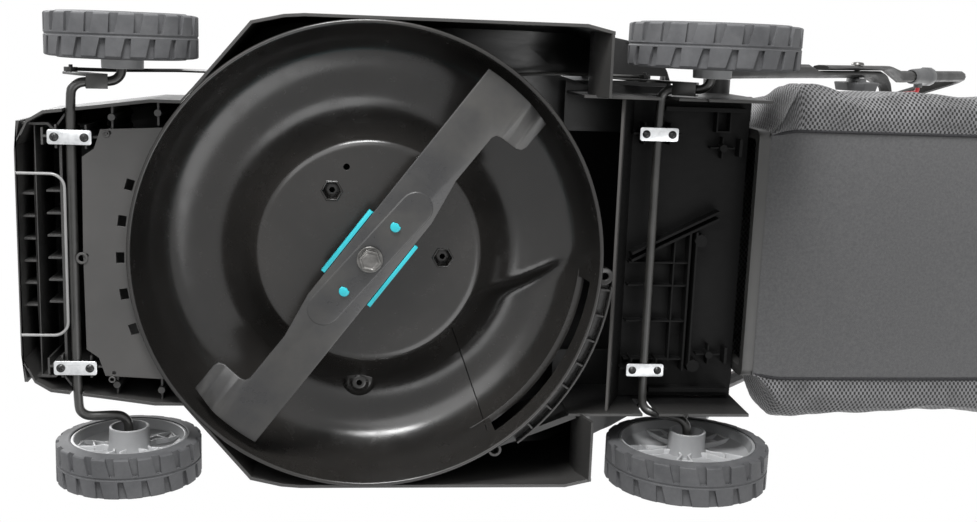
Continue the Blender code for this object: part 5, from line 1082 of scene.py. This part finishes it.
def makeClamp(node):
    _, high, centre = boxOf(node)
    under = high.z - clamp["thick"]
    corners = []
    for sx, sy, start in ((1, 1, 0), (-1, 1, 90), (-1, -1, 180), (1, -1, 270)):
        for k in range(5):
            angle, bend = math.radians(start + 22.5 * k), clamp["corner"]
            corners.append((centre.x + sx * (clamp["long"] / 2 - bend) + bend * math.cos(angle),
                            centre.y + sy * (clamp["wide"] / 2 - bend) + bend * math.sin(angle)))
    strap = block(camel(node), corners, under, high.z)
    soften(strap, 0.0004, 2, 40.0, 35.0)
    dress(strap, bodyOf[node], "zinc_steel", finishes["zinc"], node)
    heads = []
    for side in (1, -1):
        place = (centre.x + side * clamp["screws"] / 2, centre.y, 0.0)
        r = clamp["head"]
        section = [(0.0, under - 0.0026), (r * 0.45, under - 0.0024), (r * 0.80, under - 0.0017),
                   (r, under - 0.0006), (r, under + 0.0002), (0.0, under + 0.0002)]
        dome = lathe("screwHead", section, place, "Z", steps=24)
        spot = Vector((place[0], place[1]))
        for angle in (20, 110):
            way = Vector((math.cos(math.radians(angle)), math.sin(math.radians(angle)))) * r * 0.62
            carve(dome, [wall("slot", spot - way, spot + way, under - 0.004, under - 0.0012, 0.0010)])
        heads.append(dome)
    heads = joinUp(heads, camel(node) + "Screws")
    soften(heads, 0.0, smooth=30.0)
    dress(heads, bodyOf[node], "bolt_steel", finishes["screw"])


# Rigid solids that keep their shape: merged, with rounded edges and their own finish
keep = [
    # nodes, slot, finish, edge width, rounding levels, fatten
    (["deck_body"], "deck_plastic", "deck", 0.0, 0, 0.0),
    (["front_baffle"], "deck_plastic", "baffle", 0.0, 0, 0.0),
    (["chute_floor"], "deck_plastic", "floor", 0.0, 0, 0.0),
    (["motor_housing"], "motor_steel", "motor", 0.0008, 0, 0.0),
    (["motor_shaft"], "bolt_steel", "screw", 0.0003, 0, 0.0),
    (["blade_adaptor"], "accent_plastic", "accent", 0.0004, 0, 0.0),
    (["front_axle", "rear_axle"], "axle_steel", "rod", 0.0, 2, 0.00030),
    (["front_left_cap", "front_right_cap", "rear_left_cap", "rear_right_cap"],
     "knob_plastic", "knob", 0.0008, 0, 0.0),
    (["front_link_bracket", "rear_link_bracket"], "wheel_plastic", "rod", 0.0004, 0, 0.0),
    (["link_rod"], "axle_steel", "rod", 0.0, 0, 0.0),
    (["lever_knob"], "knob_plastic", "knob", 0.0008, 0, 0.0),
    (["lower_handle", "upper_handle"], "handle_paint", "tube", 0.0, 0, 0.0),
    (["grip_sleeve"], "grip_foam", "foam", 0.0, 2, 0.00040),
    (["left_collar", "right_collar"], "knob_plastic", "knob", 0.0006, 0, 0.0),
    (["left_pivot_bolt", "right_pivot_bolt", "left_joint_bolt", "right_joint_bolt"],
     "bolt_steel", "bolt", 0.0004, 0, 0.0),
    (["left_pivot_knob", "right_pivot_knob", "left_joint_knob", "right_joint_knob"],
     "knob_plastic", "knob", 0.0010, 0, 0.0),
    (["bail_lever"], "bail_paint", "bail", 0.0, 2, 0.00025),
    (["motor_cover"], "cover_plastic", "cover", 0.0012, 0, 0.0),
    (["battery_lid"], "cover_plastic", "cover", 0.0015, 0, 0.0),
    (["left_battery", "right_battery"], "knob_plastic", "knob", 0.0010, 0, 0.0),
    (["rear_flap"], "deck_plastic", "deck", 0.0008, 0, 0.0),
    (["flap_pin"], "bolt_steel", "bolt", 0.0004, 0, 0.0),
    (["bag_frame"], "deck_plastic", "trim", 0.0008, 0, 0.0),
    (["bag_top"], "deck_plastic", "cover", 0.0010, 0, 0.0),
    (["bag_handle"], "knob_plastic", "knob", 0.0, 2, 0.00030),
]

noseCorner = {"from": 0.655, "over": 0.012, "side": 0.085, "width": 0.045, "back": 0.007}


def easeNose(piece):
    # the nose's corners turn back a little behind its straight middle
    for vert in piece.data.vertices:
        beyond = min(max((abs(vert.co.y) - noseCorner["side"]) / noseCorner["width"], 0.0), 1.0)
        forward = min(max((vert.co.x - noseCorner["from"]) / noseCorner["over"], 0.0), 1.0)
        vert.co.x -= noseCorner["back"] * beyond * beyond * (3 - 2 * beyond) * forward


archStrip = {"x": (-0.02, 0.06), "half": 0.15, "top": 0.070}


def trimArchStrip(piece):
    # takes out the sliver left across the deck between the two rear arches, and closes its ends
    takeUp(piece)
    for polygon in piece.data.polygons:
        centre = polygon.center
        polygon.select = (archStrip["x"][0] < centre.x < archStrip["x"][1]
                          and abs(centre.y) < archStrip["half"] and centre.z < archStrip["top"])
    bpy.ops.object.mode_set(mode="EDIT")
    bpy.ops.mesh.select_mode(type="FACE")
    bpy.ops.mesh.delete(type="FACE")
    bpy.ops.mesh.select_mode(type="EDGE")
    bpy.ops.mesh.select_non_manifold(extend=False, use_wire=True, use_boundary=True, use_multi_face=False,
                                     use_non_contiguous=False, use_verts=False)
    bpy.ops.mesh.fill()
    bpy.ops.object.mode_set(mode="OBJECT")


for nodes, slot, finish, width, levels, fatten in keep:
    for node in nodes:
        piece = refined(node, camel(node), width, levels, fatten)
        if node == "deck_body":
            trimArchStrip(piece)
            easeNose(piece)
        dress(piece, bodyOf[node], slot, finishes[finish], node)
for end in ("front", "rear"):
    for side in ("left", "right"):
        makeClamp(f"{end}_{side}_clamp")
print("rigid pieces refined")


# Nose: the rounded lip round the hand recess under the front edge
nose = {"z": 0.0445, "front": 0.669, "back": 0.6262, "half": 0.0765, "corner": 0.013, "thick": 0.0014}


def noseLip():
    half, corner = nose["half"], nose["corner"]
    points = [(nose["front"], half, nose["z"]), (nose["front"] - 0.010, half, nose["z"])]
    for side in (1, -1):
        turn = []
        for k in range(9):
            angle = math.radians(90 + 90 * k / 8)
            turn.append((nose["back"] + corner + corner * math.cos(angle),
                         side * (half - corner + corner * math.sin(angle)), nose["z"]))
        points += turn if side > 0 else turn[::-1]
    points += [(nose["front"] - 0.010, -half, nose["z"]), (nose["front"], -half, nose["z"])]
    # its light grey finish is a painted highlight on black deck plastic
    dress(tube("noseLip", points, nose["thick"], True), "deck", "deck_plastic", finishes["lip"])


ringSpots = [
    # x, y, radius
    (0.6138, -0.0035, 0.0058),
    (0.5893, 0.1140, 0.0034),
    (0.5885, -0.1215, 0.0034),
]


def baffleRings():
    # moulded rings under the baffle, round its screw and its two pins
    low = boxOf("front_baffle")[0].z
    rings = []
    for x, y, size in ringSpots:
        section = [(size * 0.55, low + 0.0010), (size * 0.55, low - 0.0010), (size * 0.72, low - 0.0014),
                   (size * 0.95, low - 0.0010), (size, low + 0.0010)]
        rings.append(lathe("ring", section, (x, y, 0.0), "Z", steps=28))
    rings = joinUp(rings, "baffleRings")
    soften(rings, 0.0, smooth=40.0)
    dress(rings, "deck", "deck_plastic", finishes["baffle"])


wellRoof = {"front": 0.205, "step": 0.120, "rear": 0.020, "inner": 0.120, "outer": 0.170, "wide": 0.195,
            "low": 0.1760, "high": 0.1785}


def wellRoofs():
    # the dark inner roofs beside the rear wheels, which the solids don't have;
    # their front ends stand out of the deck's top, a fault
    inner, outer, rear = wellRoof["inner"], wellRoof["outer"], wellRoof["rear"]
    for side, word in ((1, "Left"), (-1, "Right")):
        corners = [(wellRoof["front"], side * wellRoof["wide"]), (wellRoof["front"], side * inner),
                   (rear, side * inner), (rear, side * outer), (wellRoof["step"], side * outer)]
        corners = corners if side < 0 else corners[::-1]
        piece = block(f"wellRoof{word}", corners, wellRoof["low"], wellRoof["high"])
        soften(piece, 0.0006, 2, 40.0)
        # the deck finish paints these roofs near black, painted shade high in the deck
        dress(piece, "deck", "deck_plastic", finishes["deck"])


noseLip()
baffleRings()
wellRoofs()
print("nose lip, baffle rings and well roofs made")


# Floor, light and world
stage = {"size": 60.0, "floor": (0.80, 0.80, 0.80), "ambient": 0.40}

key = {"from": (1.6, 1.4, 2.6), "strength": 2.0, "soft": 30.0}

lamps = [
    # name, place, aim, size, watts
    ("underLeft", (1.10, 1.30, -1.70), (0.25, 0.0, 0.1), 1.6, 24.0),
    ("underRight", (-0.70, -1.30, -1.60), (0.15, 0.0, 0.1), 1.6, 22.0),
    ("underRear", (0.55, 1.95, -0.85), (0.30, 0.0, 0.1), 0.7, 60.0),
    ("overFill", (-1.90, -1.50, 2.30), (0.0, 0.0, 0.4), 2.4, 26.0),
]


def makeStage():
    letGo()
    bpy.ops.mesh.primitive_plane_add(size=stage["size"], location=(0, 0, -0.0006))
    ground = bpy.context.active_object
    ground.name = "ground"
    applyAll(ground)
    made = bpy.data.materials.new("groundPaper")
    made.use_nodes = True
    tree = made.node_tree
    tree.nodes.clear()
    paper = tree.nodes.new("ShaderNodeBsdfDiffuse")
    grain = tree.nodes.new("ShaderNodeTexNoise")
    grain.inputs["Scale"].default_value = 60.0
    tint = tree.nodes.new("ShaderNodeMix")
    tint.data_type = "RGBA"
    tree.links.new(grain.outputs["Fac"], tint.inputs[0])
    tint.inputs[6].default_value = (*[value * 0.985 for value in stage["floor"]], 1.0)
    tint.inputs[7].default_value = (*stage["floor"], 1.0)
    tree.links.new(tint.outputs[2], paper.inputs["Color"])
    # light and lenses pass from beneath, as over a glass table
    clear = tree.nodes.new("ShaderNodeBsdfTransparent")
    rays = tree.nodes.new("ShaderNodeLightPath")
    facing = tree.nodes.new("ShaderNodeNewGeometry")
    passes = combine(tree, "MAXIMUM", facing.outputs["Backfacing"], rays.outputs["Is Shadow Ray"])
    passes = combine(tree, "MAXIMUM", passes, rays.outputs["Is Glossy Ray"])
    mix = tree.nodes.new("ShaderNodeMixShader")
    tree.links.new(passes, mix.inputs[0])
    tree.links.new(paper.outputs[0], mix.inputs[1])
    tree.links.new(clear.outputs[0], mix.inputs[2])
    out = tree.nodes.new("ShaderNodeOutputMaterial")
    tree.links.new(mix.outputs[0], out.inputs["Surface"])
    ground.data.materials.append(made)


def makeLight():
    for name, place, aim, size, watts in lamps:
        lamp = bpy.data.lights.new(name, "AREA")
        lamp.size = size
        lamp.energy = watts
        piece = bpy.data.objects.new(name, lamp)
        piece.location = place
        way = Vector(aim) - Vector(place)
        piece.rotation_euler = way.to_track_quat("-Z", "Y").to_euler()
        piece.visible_camera = False
        bpy.context.scene.collection.objects.link(piece)
    sun = bpy.data.lights.new("overKey", "SUN")
    sun.energy = key["strength"]
    sun.angle = math.radians(key["soft"])
    piece = bpy.data.objects.new("overKey", sun)
    piece.rotation_euler = (-Vector(key["from"])).to_track_quat("-Z", "Y").to_euler()
    bpy.context.scene.collection.objects.link(piece)
    world = bpy.data.worlds.new("studio")
    world.use_nodes = True
    tree = world.node_tree
    sky = tree.nodes["Background"]
    rays = tree.nodes.new("ShaderNodeLightPath")
    seen = combine(tree, "MAXIMUM", rays.outputs["Is Camera Ray"], rays.outputs["Is Glossy Ray"])
    seen = combine(tree, "MAXIMUM", seen, rays.outputs["Is Transmission Ray"])
    strength = tree.nodes.new("ShaderNodeMapRange")
    strength.inputs["To Min"].default_value = stage["ambient"]
    strength.inputs["To Max"].default_value = 1.0
    tree.links.new(seen, strength.inputs["Value"])
    sky.inputs["Color"].default_value = (1.0, 1.0, 1.0, 1.0)
    tree.links.new(strength.outputs["Result"], sky.inputs["Strength"])
    bpy.context.scene.world = world


makeStage()
makeLight()
print("stage and light set")

letGo()
